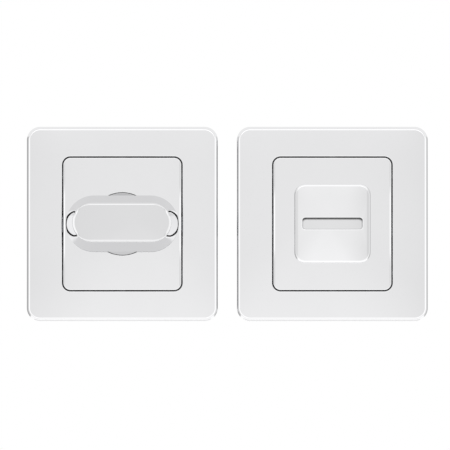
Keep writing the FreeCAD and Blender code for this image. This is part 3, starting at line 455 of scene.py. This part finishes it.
def rolled_ends(tree, own_place, grip):
    """Crowned height of the grip's face, whose two ends polishing has also rolled off."""
    reach = grip.top_width / 2
    core = grip.top_length / 2 - reach
    across, _, upright = unsigned_parts(tree, own_place)
    past_core = {"Value": across, "From Min": core, "From Max": core + reach, "To Max": reach}
    beyond = add(tree, "ShaderNodeMapRange", {}, past_core).outputs["Result"]
    spoke = add(tree, "ShaderNodeCombineXYZ", {}, (beyond, 0, upright)).outputs["Vector"]
    radius = add(tree, "ShaderNodeVectorMath", {"operation": "LENGTH"}, (spoke,)).outputs["Value"]
    ring = {"Value": radius, "From Min": reach - grip.roll_off_width, "From Max": reach}
    side = add(tree, "ShaderNodeMapRange", {}, ring).outputs["Result"]
    sets_in, is_full = (reach * math.cos(turn) for turn in END_SECTOR)
    sector = {"Value": beyond, "From Min": sets_in, "From Max": is_full}
    end = add(tree, "ShaderNodeMapRange", SMOOTH_STEP, sector).outputs["Result"]
    drop = add(tree, "ShaderNodeMath", {"operation": "MULTIPLY"}, (side, end)).outputs[0]
    sunk = (drop, -grip.roll_off, crown(tree, own_place, grip))
    return add(tree, "ShaderNodeMath", {"operation": "MULTIPLY_ADD"}, sunk).outputs[0]


def shaded_neck(tree, own_place, tint, grip):
    """The tint of plate that is darker on the neck under the grip: painted shade."""
    base = front_of("turn_centre_panel") + grip.lift
    place = add(tree, "ShaderNodeSeparateXYZ", {}, (own_place,)).outputs["Y"]
    behind = {"Value": place, "From Min": -base, "From Max": SHELF - base}
    under = add(tree, "ShaderNodeMapRange", {}, behind).outputs["Result"]
    darkened = {"Factor": under, "A": tint, "B": shade((1, 1, 1), grip.neck_shade_tone)}
    return add(tree, "ShaderNodeMix", COLOURS_MULTIPLIED, darkened).outputs["Result"]


def coin_slot_shadow_mask(tree, own_place, button, front):
    """Where the slot's painted shadow goes: one inside the coin slot and on its upper edge, nothing on the
    button's face and lower edge.
    """
    wide, high = 2 / (button.slot_length + button.slot_round), 2 / (button.slot_width + button.slot_round)
    fitted = (own_place, (wide, 0, high), (0, 0, -high * button.slot_round / 2))
    scaled = add(tree, "ShaderNodeVectorMath", {"operation": "MULTIPLY_ADD"}, fitted).outputs[0]
    across, _, upright = unsigned_parts(tree, scaled)
    furthest = add(tree, "ShaderNodeMath", {"operation": "MAXIMUM"}, (across, upright)).outputs[0]
    within = add(tree, "ShaderNodeMath", {"operation": "LESS_THAN"}, (furthest, 1)).outputs[0]
    place = add(tree, "ShaderNodeSeparateXYZ", {}, (own_place,)).outputs["Y"]
    below = {"Value": place, "From Min": -front, "From Max": SHELF - front}
    sunk = add(tree, "ShaderNodeMapRange", {}, below).outputs["Result"]
    return add(tree, "ShaderNodeMath", {"operation": "MULTIPLY"}, (within, sunk)).outputs[0]


def shaded_button(tree, own_place, tint, button):
    """The tint of plate with painted shade along the button's two sides and a painted shadow in its coin
    slot.

    The slot is darkest under its upper wall, which a room's light from above doesn't reach.
    """
    half_width = node_size("release_button").x / 2
    mask = coin_slot_shadow_mask(tree, own_place, button, front_of("release_button"))
    lean = (0, -math.cos(SLOT_LEAN), math.sin(SLOT_LEAN))
    upwards = add(tree, "ShaderNodeCombineXYZ", {}, lean).outputs["Vector"]
    sky = {"Distance": button.slot_shadow, "Normal": upwards}
    open_sky = add(tree, "ShaderNodeAmbientOcclusion", {"samples": SKY_SAMPLES}, sky).outputs["AO"]
    facing = add(tree, "ShaderNodeNewGeometry").outputs["Normal"]
    rise = add(tree, "ShaderNodeSeparateXYZ", {}, (facing,)).outputs["Z"]
    leaning = {"Value": rise, "From Min": SLOT_OVERHANG, "From Max": 0}
    overhang = add(tree, "ShaderNodeMapRange", {}, leaning).outputs["Result"]
    shelter = add(tree, "ShaderNodeMath", {"operation": "MINIMUM"}, (open_sky, overhang)).outputs[0]
    tones = {
        "Value": shelter,
        "From Min": SLOT_OPEN[0],
        "From Max": SLOT_OPEN[1],
        "To Min": SLOT_SHADOW_TONES[0],
        "To Max": SLOT_SHADOW_TONES[1],
    }
    shadow = add(tree, "ShaderNodeMapRange", {}, tones).outputs["Result"]
    # painted shadow: the slot's tint is darkened where the room's light from above would not reach
    shaded = {"Factor": mask, "A": tint, "B": shadow}
    tint = add(tree, "ShaderNodeMix", COLOURS_MULTIPLIED, shaded).outputs["Result"]
    # painted shade: the tint is darkened along the button's two sides
    across, _, _ = unsigned_parts(tree, own_place)
    sides = {
        "Value": across,
        "From Min": half_width - button.side_shade_width,
        "From Max": half_width - button.edge_round,
    }
    side_shade = add(tree, "ShaderNodeMapRange", {}, sides).outputs["Result"]
    darkened = {"Factor": side_shade, "A": tint, "B": shade((1, 1, 1), button.side_shade_tone)}
    return add(tree, "ShaderNodeMix", COLOURS_MULTIPLIED, darkened).outputs["Result"]


def polished_chrome(name, tone, pitch, swell, painted_shade=None):
    """Bright chrome over a polished casting: a white mirror, faintly hazy.

    swell makes the height of what polishing has done to the face. The last argument paints shade into its
    tint in places.
    """
    material, tree, place = new_material(name)
    own_place = from_own_axis(tree, place, pitch)
    clouds = {"Vector": place, "Scale": 1 / HAZE_SIZE, "Detail": 3.0, "Roughness": 0.6}
    haze = add(tree, "ShaderNodeTexNoise", {}, clouds).outputs["Fac"]
    levels = {
        "Value": haze,
        "From Min": HAZE_NOISE[0],
        "From Max": HAZE_NOISE[1],
        "To Min": HAZE_ROUGHNESS[0],
        "To Max": HAZE_ROUGHNESS[1],
    }
    roughness = add(tree, "ShaderNodeMapRange", {}, levels).outputs["Result"]
    colours = {"Factor": haze, "A": shade(tone, HAZE_TONES[0]), "B": shade(tone, HAZE_TONES[1])}
    tint = add(tree, "ShaderNodeMix", COLOURS_BLENDED, colours).outputs["Result"]
    if painted_shade:
        tint = painted_shade(tree, own_place, tint)
    bump = {"Strength": 1.0, "Distance": 1.0, "Height": swell(tree, own_place)}
    shader = add(
        tree,
        "ShaderNodeBsdfPrincipled",
        {},
        {
            "Base Color": tint,
            "Metallic": 1.0,
            "Roughness": roughness,
            "Normal": add(tree, "ShaderNodeBump", {}, bump).outputs["Normal"],
        },
    )
    add(tree, "ShaderNodeOutputMaterial", {}, {"Surface": shader.outputs["BSDF"]})
    return material


def grained_metal(name, tone, grain, smooth, rough, bump, stretch=(1, 1, 1)):
    """A matt metal whose colour, roughness (from smooth to rough) and height follow one noise."""
    material, tree, place = new_material(name)
    stretched = add(tree, "ShaderNodeMapping", {}, {"Vector": place, "Scale": stretch}).outputs["Vector"]
    grains = {"Vector": stretched, "Scale": 1 / grain, "Detail": 4.0, "Roughness": 0.55}
    noise = add(tree, "ShaderNodeTexNoise", {}, grains).outputs["Fac"]
    colours = {"Factor": noise, "A": shade(tone, METAL_TONES[0]), "B": shade(tone, METAL_TONES[1])}
    levels = {"Value": noise, "To Min": smooth, "To Max": rough}
    heights = {"Strength": 0.5, "Distance": bump, "Height": noise}
    shader = add(
        tree,
        "ShaderNodeBsdfPrincipled",
        {},
        {
            "Base Color": add(tree, "ShaderNodeMix", COLOURS_BLENDED, colours).outputs["Result"],
            "Metallic": 1.0,
            "Roughness": add(tree, "ShaderNodeMapRange", {}, levels).outputs["Result"],
            "Normal": add(tree, "ShaderNodeBump", {}, heights).outputs["Normal"],
        },
    )
    add(tree, "ShaderNodeOutputMaterial", {}, {"Surface": shader.outputs["BSDF"]})
    return material


def moulded_nylon(tone):
    """Natural nylon from a spark-eroded mould: milky, softly matt, with a fine even texture."""
    material, tree, place = new_material("moulded_natural_nylon")
    grains = {"Vector": place, "Scale": 1 / (0.4 * MM), "Detail": 2.0}
    grain = add(tree, "ShaderNodeTexNoise", {}, grains).outputs["Fac"]
    colours = {"Factor": grain, "A": shade(tone, NYLON_TONES[0]), "B": shade(tone, NYLON_TONES[1])}
    heights = {"Strength": 0.3, "Distance": 0.01 * MM, "Height": grain}
    shader = add(
        tree,
        "ShaderNodeBsdfPrincipled",
        {},
        {
            "Base Color": add(tree, "ShaderNodeMix", COLOURS_BLENDED, colours).outputs["Result"],
            "Roughness": 0.48,
            "IOR": 1.53,
            "Subsurface Weight": 0.2,
            "Subsurface Scale": 1.5 * MM,
            "Normal": add(tree, "ShaderNodeBump", {}, heights).outputs["Normal"],
        },
    )
    add(tree, "ShaderNodeOutputMaterial", {}, {"Surface": shader.outputs["BSDF"]})
    return material


MATERIALS = {}


def make_materials(scene):
    """Every finish once, under the name of the record's slot or of the face that it dresses."""
    colours, roses, grip, button = scene.lock_colours, scene.lock_roses, scene.lock_grip, scene.lock_button
    pitch = node_axis("release").x - node_axis("turn").x
    half_panel = node_size("turn_centre_panel").x / 2
    half_button = node_size("release_button").x / 2
    MATERIALS["chrome_plate"] = polished_chrome(
        "polished_chrome_plate", colours.chrome, pitch, lambda tree, place: crown(tree, place, roses)
    )
    MATERIALS["panel_face"] = polished_chrome(
        "polished_chrome_panel",
        colours.chrome,
        pitch,
        lambda tree, place: rolled_sides(tree, place, half_panel, roses),
    )
    MATERIALS["grip_face"] = polished_chrome(
        "polished_chrome_grip",
        colours.shaded_chrome_grip,
        pitch,
        lambda tree, place: rolled_ends(tree, place, grip),
        lambda tree, place, tint: shaded_neck(tree, place, tint, grip),
    )
    MATERIALS["button_face"] = polished_chrome(
        "polished_chrome_button",
        colours.lit_chrome_button,
        pitch,
        lambda tree, place: rolled_sides(tree, place, half_button, button),
        lambda tree, place, tint: shaded_button(tree, place, tint, button),
    )
    # bare die-cast zinc alloy, tumbled: a dull grey cast skin with a fine grain
    MATERIALS["zinc_casting"] = grained_metal(
        "tumbled_zinc_alloy_casting", colours.zinc, grain=0.5 * MM, smooth=0.38, rough=0.55, bump=0.02 * MM
    )
    # cold drawn bar: fine bright lines along its length
    MATERIALS["bright_steel"] = grained_metal(
        "cold_drawn_steel",
        colours.steel,
        grain=0.25 * MM,
        smooth=0.22,
        rough=0.4,
        bump=0.006 * MM,
        stretch=(1, 0.03, 1),
    )
    # hardened and oiled strip: dark, smooth, with a slight sheen
    MATERIALS["spring_steel"] = grained_metal(
        "oiled_spring_steel", colours.spring, grain=0.8 * MM, smooth=0.25, rough=0.38, bump=0.003 * MM
    )
    # passivated zinc plate: bluish grey, satin, slightly uneven
    MATERIALS["zinc_plated_steel"] = grained_metal(
        "passivated_zinc_plate", colours.plated, grain=0.7 * MM, smooth=0.36, rough=0.5, bump=0.004 * MM
    )
    MATERIALS["nylon"] = moulded_nylon(colours.nylon)


# Operators, one for each piece or group of like pieces


class LOCKSET_OT_finishes(bpy.types.Operator):
    """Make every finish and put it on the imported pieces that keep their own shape"""

    bl_idname = "lockset.finishes"
    bl_label = "Finishes"

    def execute(self, context):
        make_materials(context.scene)
        slots = {part["node"]: part["material_slot"] for part in frame["record"]["subparts"]}
        for node, piece in frame["nodes"].items():
            piece.data.materials.clear()
            piece.data.materials.append(MATERIALS[slots[node]])
        return {"FINISHED"}


class LOCKSET_OT_rose_covers(bpy.types.Operator):
    """Model both rose covers: a drawn frame with rounded edges and a lipped window"""

    bl_idname = "lockset.rose_covers"
    bl_label = "Rose covers"

    def execute(self, context):
        sizes = context.scene.lock_roses
        for half in HALVES:
            node = f"{half}_rose_cover"
            size = node_size(node)
            panel = node_size(f"{half}_centre_panel")
            front, back = front_of(node), back_of(node)
            window = (panel.x + 2 * sizes.window_gap, panel.z + 2 * sizes.window_gap)
            window_corner = sizes.panel_corner + sizes.window_gap
            inside = (size.x - 2 * sizes.wall, size.z - 2 * sizes.wall, sizes.corner - sizes.wall)
            lip = [edge + 2 * sizes.lip_wall for edge in window]
            lip_corner = window_corner + sizes.lip_wall
            sections = [(size.x, size.z, sizes.corner, back)]
            sections += rounding(size.x, size.z, sizes.corner, front, sizes.edge_round)
            sections += rounding(*window, window_corner, front, sizes.window_round, outward=False, steps=4)
            sections.append((*window, window_corner, front - sizes.lip_depth))
            sections.append((*lip, lip_corner, front - sizes.lip_depth))
            sections.append((*lip, lip_corner, front - sizes.wall))
            sections.append((*inside, front - sizes.wall))
            sections.append((*inside, back))
            bm = bmesh.new()
            skin(bm, node_axis(half), sections, closed=True)
            for rise in (-1, 1):
                wall = node_axis(half) + Vector((0, -sizes.bead_depth, rise * inside[1] / 2))
                catch_bead(bm, wall, sizes)
            finished(
                f"{half}_rose_cover_shell", bm, "roses", [node], MATERIALS["chrome_plate"]
            )
        return {"FINISHED"}


def catch_bead(bm, place, sizes):
    """A square bar let edgewise into the wall, so that a low ridge stands out of it."""
    side = sizes.bead_height * math.sqrt(2) / MM
    bar = bmesh.ops.create_cube(bm, size=1)["verts"]
    bmesh.ops.scale(bm, vec=(sizes.bead_length / MM, side, side), verts=bar)
    bmesh.ops.rotate(bm, matrix=Matrix.Rotation(math.pi / 4, 3, "X"), verts=bar)
    bmesh.ops.translate(bm, vec=place / MM, verts=bar)


class LOCKSET_OT_centre_panels(bpy.types.Operator):
    """Model both centre panels: flush plates with a bore, pegs and polished-off sides"""

    bl_idname = "lockset.centre_panels"
    bl_label = "Centre panels"

    def execute(self, context):
        sizes = context.scene.lock_roses
        for half in HALVES:
            node = f"{half}_centre_panel"
            size = node_size(node)
            axis = node_axis(half)
            front = front_of(node)
            back = front - sizes.panel_thickness
            bore = sizes.panel_bore
            sections = [circle(bore, back), (size.x, size.z, sizes.panel_corner, back)]
            sections += rounding(size.x, size.z, sizes.panel_corner, front, sizes.window_round, steps=4)
            sections += rounding(bore, bore, bore / 2, front, sizes.bore_round, outward=False, steps=2)
            bm = bmesh.new()
            skin(bm, axis, sections, closed=True)
            for side in (-1, 1):
                for rise in (-1, 1):
                    place = axis + Vector((side * sizes.peg_across, 0, rise * sizes.peg_upright))
                    low = back_of(node)
                    tap = [circle(sizes.tap, low + sizes.tap_depth), circle(sizes.tap, low)]
                    peg = [circle(sizes.peg, low), circle(sizes.peg, back + sizes.window_round)]
                    loops = skin(bm, place, tap + peg)
                    cap(bm, loops[0])
                    cap(bm, loops[-1])
            finished(
                f"{half}_centre_panel_plate", bm, "roses", [node], MATERIALS["panel_face"]
            )
        return {"FINISHED"}


def shank_sections(shank, half, node, socket_depth):
    """Sections from the bottom of the square socket, out of the shank's end and up to the neck."""
    end = back_of(node)
    clip_front, clip_back = front_of(f"{half}_circlip"), back_of(f"{half}_circlip")
    groove_front = clip_front + shank.groove_play
    groove_back = clip_back - shank.groove_play
    neck_back = front_of(f"{half}_bush") + shank.groove_play
    socket = (shank.socket, shank.socket, shank.socket_corner)
    return [
        (*socket, end + socket_depth),
        (*socket, end),
        circle(shank.shank - 2 * shank.chamfer, end),
        circle(shank.shank, end + shank.chamfer),
        circle(shank.shank, groove_back),
        circle(shank.groove, groove_back),
        circle(shank.groove, groove_front),
        circle(shank.shank, groove_front),
        circle(shank.shank, neck_back),
        circle(shank.neck, neck_back),
    ]


class LOCKSET_OT_thumb_turn(bpy.types.Operator):
    """Model the thumb turn: a tapered stadium grip on its neck and shank"""

    bl_idname = "lockset.thumb_turn"
    bl_label = "Thumb turn"

    def execute(self, context):
        shank = context.scene.lock_shanks
        grip = context.scene.lock_grip
        node = "thumb_turn_knob"
        panel_face = front_of("turn_centre_panel")
        front = front_of(node)
        base = panel_face + grip.lift
        taper_length = (grip.base_length - grip.top_length) / (front - base)
        taper_width = (grip.base_width - grip.top_width) / (front - base)
        sections = shank_sections(shank, "turn", node, grip.socket_depth)
        sections.append(circle(shank.neck, panel_face))
        sections.append(circle(shank.neck_top, base))
        for step in range(ROUND_STEPS + 1):
            angle = math.pi / 2 * step / ROUND_STEPS
            inset = grip.base_round * (1 - math.sin(angle))
            rise = grip.base_round * (1 - math.cos(angle))
            long_way = grip.base_length - taper_length * rise - 2 * inset
            short_way = grip.base_width - taper_width * rise - 2 * inset
            sections.append((long_way, short_way, short_way / 2, base + rise))
        sections += grip_walls(grip, sections[-1], front, taper_length, taper_width)
        bm = bmesh.new()
        loops = skin(bm, node_axis("turn"), sections)
        cap(bm, loops[0])
        cap(bm, loops[-1])
        finished("thumb_turn_grip", bm, "thumb_turn", [node], MATERIALS["grip_face"])
        return {"FINISHED"}


def grip_walls(grip, foot, front, taper_length, taper_width):
    """Sections of the grip's leaning wall, from its foot, and of the round along its front face."""
    lean = math.atan((taper_length + taper_width) / 4)
    turns = [lean + (math.pi / 2 - lean) * step / ROUND_STEPS for step in range(ROUND_STEPS + 1)]
    wall_drop = grip.rim_round * (1 - math.sin(lean))
    rim = []
    for turn in turns:
        part = math.cos(lean) - math.cos(turn)
        long_way = grip.top_length + taper_length * wall_drop - 2 * part * grip.rim_round_ends
        short_way = grip.top_width + taper_width * wall_drop - 2 * part * grip.rim_round
        depth = front - SHELF_RISE - grip.rim_round * (1 - math.sin(turn))
        rim.append((long_way, short_way, short_way / 2, depth))
    rim.append((long_way - 2 * SHELF, short_way - 2 * SHELF, short_way / 2 - SHELF, front))
    wall = [
        tuple(low + (high - low) * step / TAPER_STEPS for low, high in zip(foot, rim[0]))
        for step in range(1, TAPER_STEPS)
    ]
    return wall + rim


class LOCKSET_OT_release_button(bpy.types.Operator):
    """Model the release: a rounded square button with a coin slot, on its neck and shank"""

    bl_idname = "lockset.release_button"
    bl_label = "Release button"

    def execute(self, context):
        shank = context.scene.lock_shanks
        button = context.scene.lock_button
        node = "release_button"
        size = node_size(node)
        panel_face = front_of("release_centre_panel")
        front = front_of(node)
        back = panel_face + button.lift
        sections = shank_sections(shank, "release", node, button.socket_depth)
        outline = (size.x, size.z, button.corner)
        slot = (button.slot_length, button.slot_width, button.slot_corner)
        sections.append(circle(shank.neck, back))
        sections.append((*outline, back))
        sections += rounding(*outline, front, button.edge_round)
        sections += rounding(*slot, front, button.slot_round, outward=False, steps=4)
        sections.append((*slot, front - button.slot_depth))
        bm = bmesh.new()
        loops = skin(bm, node_axis("release"), sections)
        cap(bm, loops[0])
        cap(bm, loops[-1])
        finished("release_button_face", bm, "release", [node], MATERIALS["button_face"])
        return {"FINISHED"}


class LOCKSET_OT_bolt_threads(bpy.types.Operator):
    """Model the rolled thread of both fixing bolts: a ridge that winds along each"""

    bl_idname = "lockset.bolt_threads"
    bl_label = "Bolt threads"

    def execute(self, context):
        thread = context.scene.lock_threads
        low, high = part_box("turn_fixing_bolts")
        bm = bmesh.new()
        for across in (low.x + thread.head / 2, high.x - thread.head / 2):
            wind_ridge(bm, Vector((across, high.y - thread.tip, 0)), thread)
        plated = MATERIALS["zinc_plated_steel"]
        finished("turn_fixing_bolt_threads", bm, "roses", [], plated)
        return {"FINISHED"}


def wind_ridge(bm, end, thread):
    """A ridge with a flat crest, wound right-handed round a bolt from near its tip towards its head."""
    run = thread.run - thread.tip - thread.foot
    turns = run / thread.pitch
    steps = round(turns * THREAD_STEPS)
    section = (
        (thread.core, 0),
        (thread.major, (thread.foot - thread.crest) / 2),
        (thread.major, (thread.foot + thread.crest) / 2),
        (thread.core, thread.foot),
    )
    corners = [bm.verts.new((end + Vector((width / 2, -back, 0))) / MM) for width, back in section]
    face = bm.faces.new(corners)
    bmesh.ops.spin(
        bm,
        geom=[face, *face.edges, *corners],
        cent=end / MM,
        axis=(0, -1, 0),
        dvec=(0, -run / steps / MM, 0),
        angle=2 * math.pi * turns,
        steps=steps,
    )


class LOCKSET_OT_studio(bpy.types.Operator):
    """Set the floor, the soft light round the roses and the camera in front of them"""

    bl_idname = "lockset.studio"
    bl_label = "Studio"

    def execute(self, context):
        studio = context.scene.lock_studio
        colours = context.scene.lock_colours
        make_floor(studio, colours)
        make_world(context.scene, studio.camera_tilt)
        make_camera(context.scene, studio)
        context.scene.view_settings.view_transform = "Standard"
        return {"FINISHED"}


def make_floor(studio, colours):
    """A square of painted board, matt and pale all over, far below the roses."""
    bm = bmesh.new()
    bmesh.ops.create_grid(bm, x_segments=1, y_segments=1, size=studio.floor_reach)
    middle = (0, studio.floor_reach - studio.floor_front, -studio.floor_drop)
    bmesh.ops.translate(bm, verts=bm.verts, vec=middle)
    mesh = bpy.data.meshes.new("pale_floor")
    bm.to_mesh(mesh)
    bm.free()
    floor = bpy.data.objects.new("pale_floor", mesh)
    bpy.context.scene.collection.objects.link(floor)
    material, tree, place = new_material("matt_pale_floor")
    noise = add(tree, "ShaderNodeTexNoise", {}, {"Vector": place, "Scale": 40.0}).outputs["Fac"]
    darkest, lightest = (shade(colours.floor, tone) for tone in FLOOR_TONES)
    tones = {"Factor": noise, "A": darkest, "B": lightest}
    tint = add(tree, "ShaderNodeMix", COLOURS_BLENDED, tones).outputs["Result"]
    shader = add(tree, "ShaderNodeBsdfPrincipled", {}, {"Base Color": tint, "Roughness": 0.9})
    add(tree, "ShaderNodeOutputMaterial", {}, {"Surface": shader.outputs["BSDF"]})
    mesh.materials.append(material)


# Brightness of the white room against the angle off the camera's mirrored axis, in degrees. Round the
# camera lies a bright band, further out at the sides, where the room is dimmer. Behind the roses it is white.
ROOM = {
    "above": (
        (0, 1.0), (2.5, 0.99), (4.5, 1.1), (8, 1.75), (15, 1.75), (18.5, 1.0), (32, 0.96), (50, 1.07),
        (172, 1.0),
    ),
    "below": (
        (0, 1.0), (2.5, 1.05), (4.5, 1.12), (8, 1.5), (17, 1.5), (22, 1.0), (32, 1.0), (46, 1.25),
        (172, 1.2),
    ),
    "left": (
        (0, 1.0), (2.5, 0.98), (5, 0.88), (8, 0.84), (12, 1.28), (34, 1.34), (44, 0.9), (78, 0.68),
        (100, 0.46), (150, 0.46), (172, 1.0),
    ),
    "right": (
        (0, 1.0), (2.5, 0.98), (5, 0.86), (8, 0.84), (12, 1.22), (22, 1.22), (28, 1.46), (34, 1.46),
        (44, 1.08), (78, 0.86), (100, 0.64), (150, 0.62), (172, 1.0),
    ),
}
BRIGHTEST = 2.0
HALF_TURN = 180

# The sides' brightness takes over from that above and below where the square of the level part of a
# direction passes from the first of these numbers to the second: each at the near angle and the far one.
# At the far angle they reach further round below than above.
NARROWING = (5, 20)
SIDEWAYS_SHARE = ((0.1, 0.74), (0.9, 0.86))
LOWER_REACH = 0.3


def brightness_by_angle(tree, profile, angle):
    """A ramp over half a turn that holds the profile, as parts of the brightest."""
    ramp = add(tree, "ShaderNodeValToRGB", {}, (angle,))
    elements = ramp.color_ramp.elements
    while len(elements) < len(profile):
        elements.new(1)
    for element, (degrees, _) in zip(elements, profile):
        element.position = degrees / HALF_TURN
    for element, (_, brightness) in zip(elements, profile):
        tone = brightness / BRIGHTEST
        element.color = (tone, tone, tone, 1)
    return ramp.outputs["Color"]


def share_of_sides(tree, across, upright, angle):
    """How much the room's brightness at its sides counts in a direction, from nothing to one."""
    flat = add(tree, "ShaderNodeCombineXYZ", {}, (across, 0, upright)).outputs["Vector"]
    heading = add(tree, "ShaderNodeVectorMath", {"operation": "NORMALIZE"}, (flat,)).outputs[0]
    level_part, _, rise = add(tree, "ShaderNodeSeparateXYZ", {}, (heading,)).outputs
    squared = add(tree, "ShaderNodeMath", {"operation": "POWER"}, (level_part, 2)).outputs[0]
    near, far = (degrees / HALF_TURN for degrees in NARROWING)
    reach, lower, upper = [
        add(
            tree,
            "ShaderNodeMapRange",
            {},
            {"Value": angle, "From Min": near, "From Max": far, "To Min": at_near, "To Max": at_far},
        ).outputs["Result"]
        for at_near, at_far in ((0, LOWER_REACH), *SIDEWAYS_SHARE)
    ]
    drop = add(tree, "ShaderNodeMath", {"operation": "MULTIPLY"}, (rise, reach)).outputs[0]
    level = add(tree, "ShaderNodeMath", {"operation": "SUBTRACT"}, (squared, drop)).outputs[0]
    blend = {"Value": level, "From Min": lower, "From Max": upper}
    return add(tree, "ShaderNodeMapRange", SMOOTH_STEP, blend).outputs["Result"]


def make_world(scene, tilt):
    """A soft white room, shaded by direction alone, that the camera and the metal see alike."""
    world = bpy.data.worlds.new("soft_white_room")
    scene.world = world
    world.use_nodes = True
    tree = world.node_tree
    tree.nodes.clear()
    way = add(tree, "ShaderNodeTexCoord").outputs["Generated"]
    turned = add(tree, "ShaderNodeMapping", {}, {"Vector": way, "Rotation": (tilt, 0, 0)}).outputs["Vector"]
    across, deep, upright = add(tree, "ShaderNodeSeparateXYZ", {}, (turned,)).outputs
    ahead = add(tree, "ShaderNodeMath", {"operation": "MULTIPLY"}, (deep, -1)).outputs[0]
    turn = add(tree, "ShaderNodeMath", {"operation": "ARCCOSINE"}, (ahead,)).outputs[0]
    angle = add(tree, "ShaderNodeMath", {"operation": "DIVIDE"}, (turn, math.pi)).outputs[0]
    levels = {side: brightness_by_angle(tree, ROOM[side], angle) for side in ROOM}
    rightwards = add(tree, "ShaderNodeMath", {"operation": "GREATER_THAN"}, (across, 0)).outputs[0]
    upwards = add(tree, "ShaderNodeMath", {"operation": "GREATER_THAN"}, (upright, 0)).outputs[0]
    choice = {"Factor": rightwards, "A": levels["left"], "B": levels["right"]}
    sides = add(tree, "ShaderNodeMix", NUMBERS_BLENDED, choice).outputs["Result"]
    choice = {"Factor": upwards, "A": levels["below"], "B": levels["above"]}
    heights = add(tree, "ShaderNodeMix", NUMBERS_BLENDED, choice).outputs["Result"]
    choice = {"Factor": share_of_sides(tree, across, upright, angle), "A": heights, "B": sides}
    tone = add(tree, "ShaderNodeMix", NUMBERS_BLENDED, choice).outputs["Result"]
    strength = add(tree, "ShaderNodeMath", {"operation": "MULTIPLY"}, (tone, BRIGHTEST)).outputs[0]
    background = add(tree, "ShaderNodeBackground", {}, {"Color": (1, 1, 1, 1), "Strength": strength})
    add(tree, "ShaderNodeOutputWorld", {}, {"Surface": background.outputs["Background"]})


def make_camera(scene, studio):
    """A long lens straight ahead of the roses, looking up a little, framed as the photograph is."""
    turn_across, turn_down = TURN_IN_PICTURE
    aim = node_axis("turn") + Vector(
        (
            (PICTURE_CENTRE - turn_across) * studio.pixel,
            -front_of("turn_rose_cover"),
            (turn_down - PICTURE_CENTRE) * studio.pixel,
        )
    )
    lens = bpy.data.cameras.new("camera")
    lens.sensor_width = SENSOR
    lens.lens = SENSOR * studio.camera_distance / (PICTURE_SIDE * studio.pixel)
    tilt = studio.camera_tilt
    camera = bpy.data.objects.new("camera", lens)
    back = Vector((0, -math.cos(tilt), -math.sin(tilt)))
    camera.location = aim + back * studio.camera_distance
    camera.rotation_euler = (-back).to_track_quat("-Z", "Y").to_euler()
    lens.clip_start, lens.clip_end = CLIP_NEAR, CLIP_FAR
    scene.collection.objects.link(camera)
    scene.camera = camera


OPERATORS = (
    LOCKSET_OT_finishes,
    LOCKSET_OT_rose_covers,
    LOCKSET_OT_centre_panels,
    LOCKSET_OT_thumb_turn,
    LOCKSET_OT_release_button,
    LOCKSET_OT_bolt_threads,
    LOCKSET_OT_studio,
)


class LOCKSET_PT_sidebar(bpy.types.Panel):
    """Sizes, colours and steps of the lock set"""

    bl_idname = "LOCKSET_PT_sidebar"
    bl_label = "Bathroom lock set"
    bl_space_type = "VIEW_3D"
    bl_region_type = "UI"
    bl_category = "Lock set"

    def draw(self, context):
        for operator in OPERATORS:
            self.layout.operator(operator.bl_idname)
        for group in GROUPS:
            for name in GROUPS[group].__annotations__:
                self.layout.prop(getattr(context.scene, group), name)


GROUPS = {
    "lock_roses": LockRoseSizes,
    "lock_shanks": LockShankSizes,
    "lock_grip": LockGripSizes,
    "lock_button": LockButtonSizes,
    "lock_threads": LockThreadSizes,
    "lock_colours": LockFinishColours,
    "lock_studio": LockStudioSettings,
}


def register():
    """Registers the groups, with a place for each on the scene, the operators and the panel."""
    for name, group in GROUPS.items():
        bpy.utils.register_class(group)
        setattr(bpy.types.Scene, name, bpy.props.PointerProperty(type=group))
    for operator in OPERATORS:
        bpy.utils.register_class(operator)
    bpy.utils.register_class(LOCKSET_PT_sidebar)


def unregister():
    """Takes back what register has done, in the opposite order."""
    bpy.utils.unregister_class(LOCKSET_PT_sidebar)
    for operator in reversed(OPERATORS):
        bpy.utils.unregister_class(operator)
    for name, group in reversed(GROUPS.items()):
        delattr(bpy.types.Scene, name)
        bpy.utils.unregister_class(group)


def main():
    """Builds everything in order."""
    register()
    bpy.ops.lockset.finishes()
    bpy.ops.lockset.rose_covers()
    bpy.ops.lockset.centre_panels()
    bpy.ops.lockset.thumb_turn()
    bpy.ops.lockset.release_button()
    bpy.ops.lockset.bolt_threads()
    bpy.ops.lockset.studio()


if __name__ == "__main__":
    main()
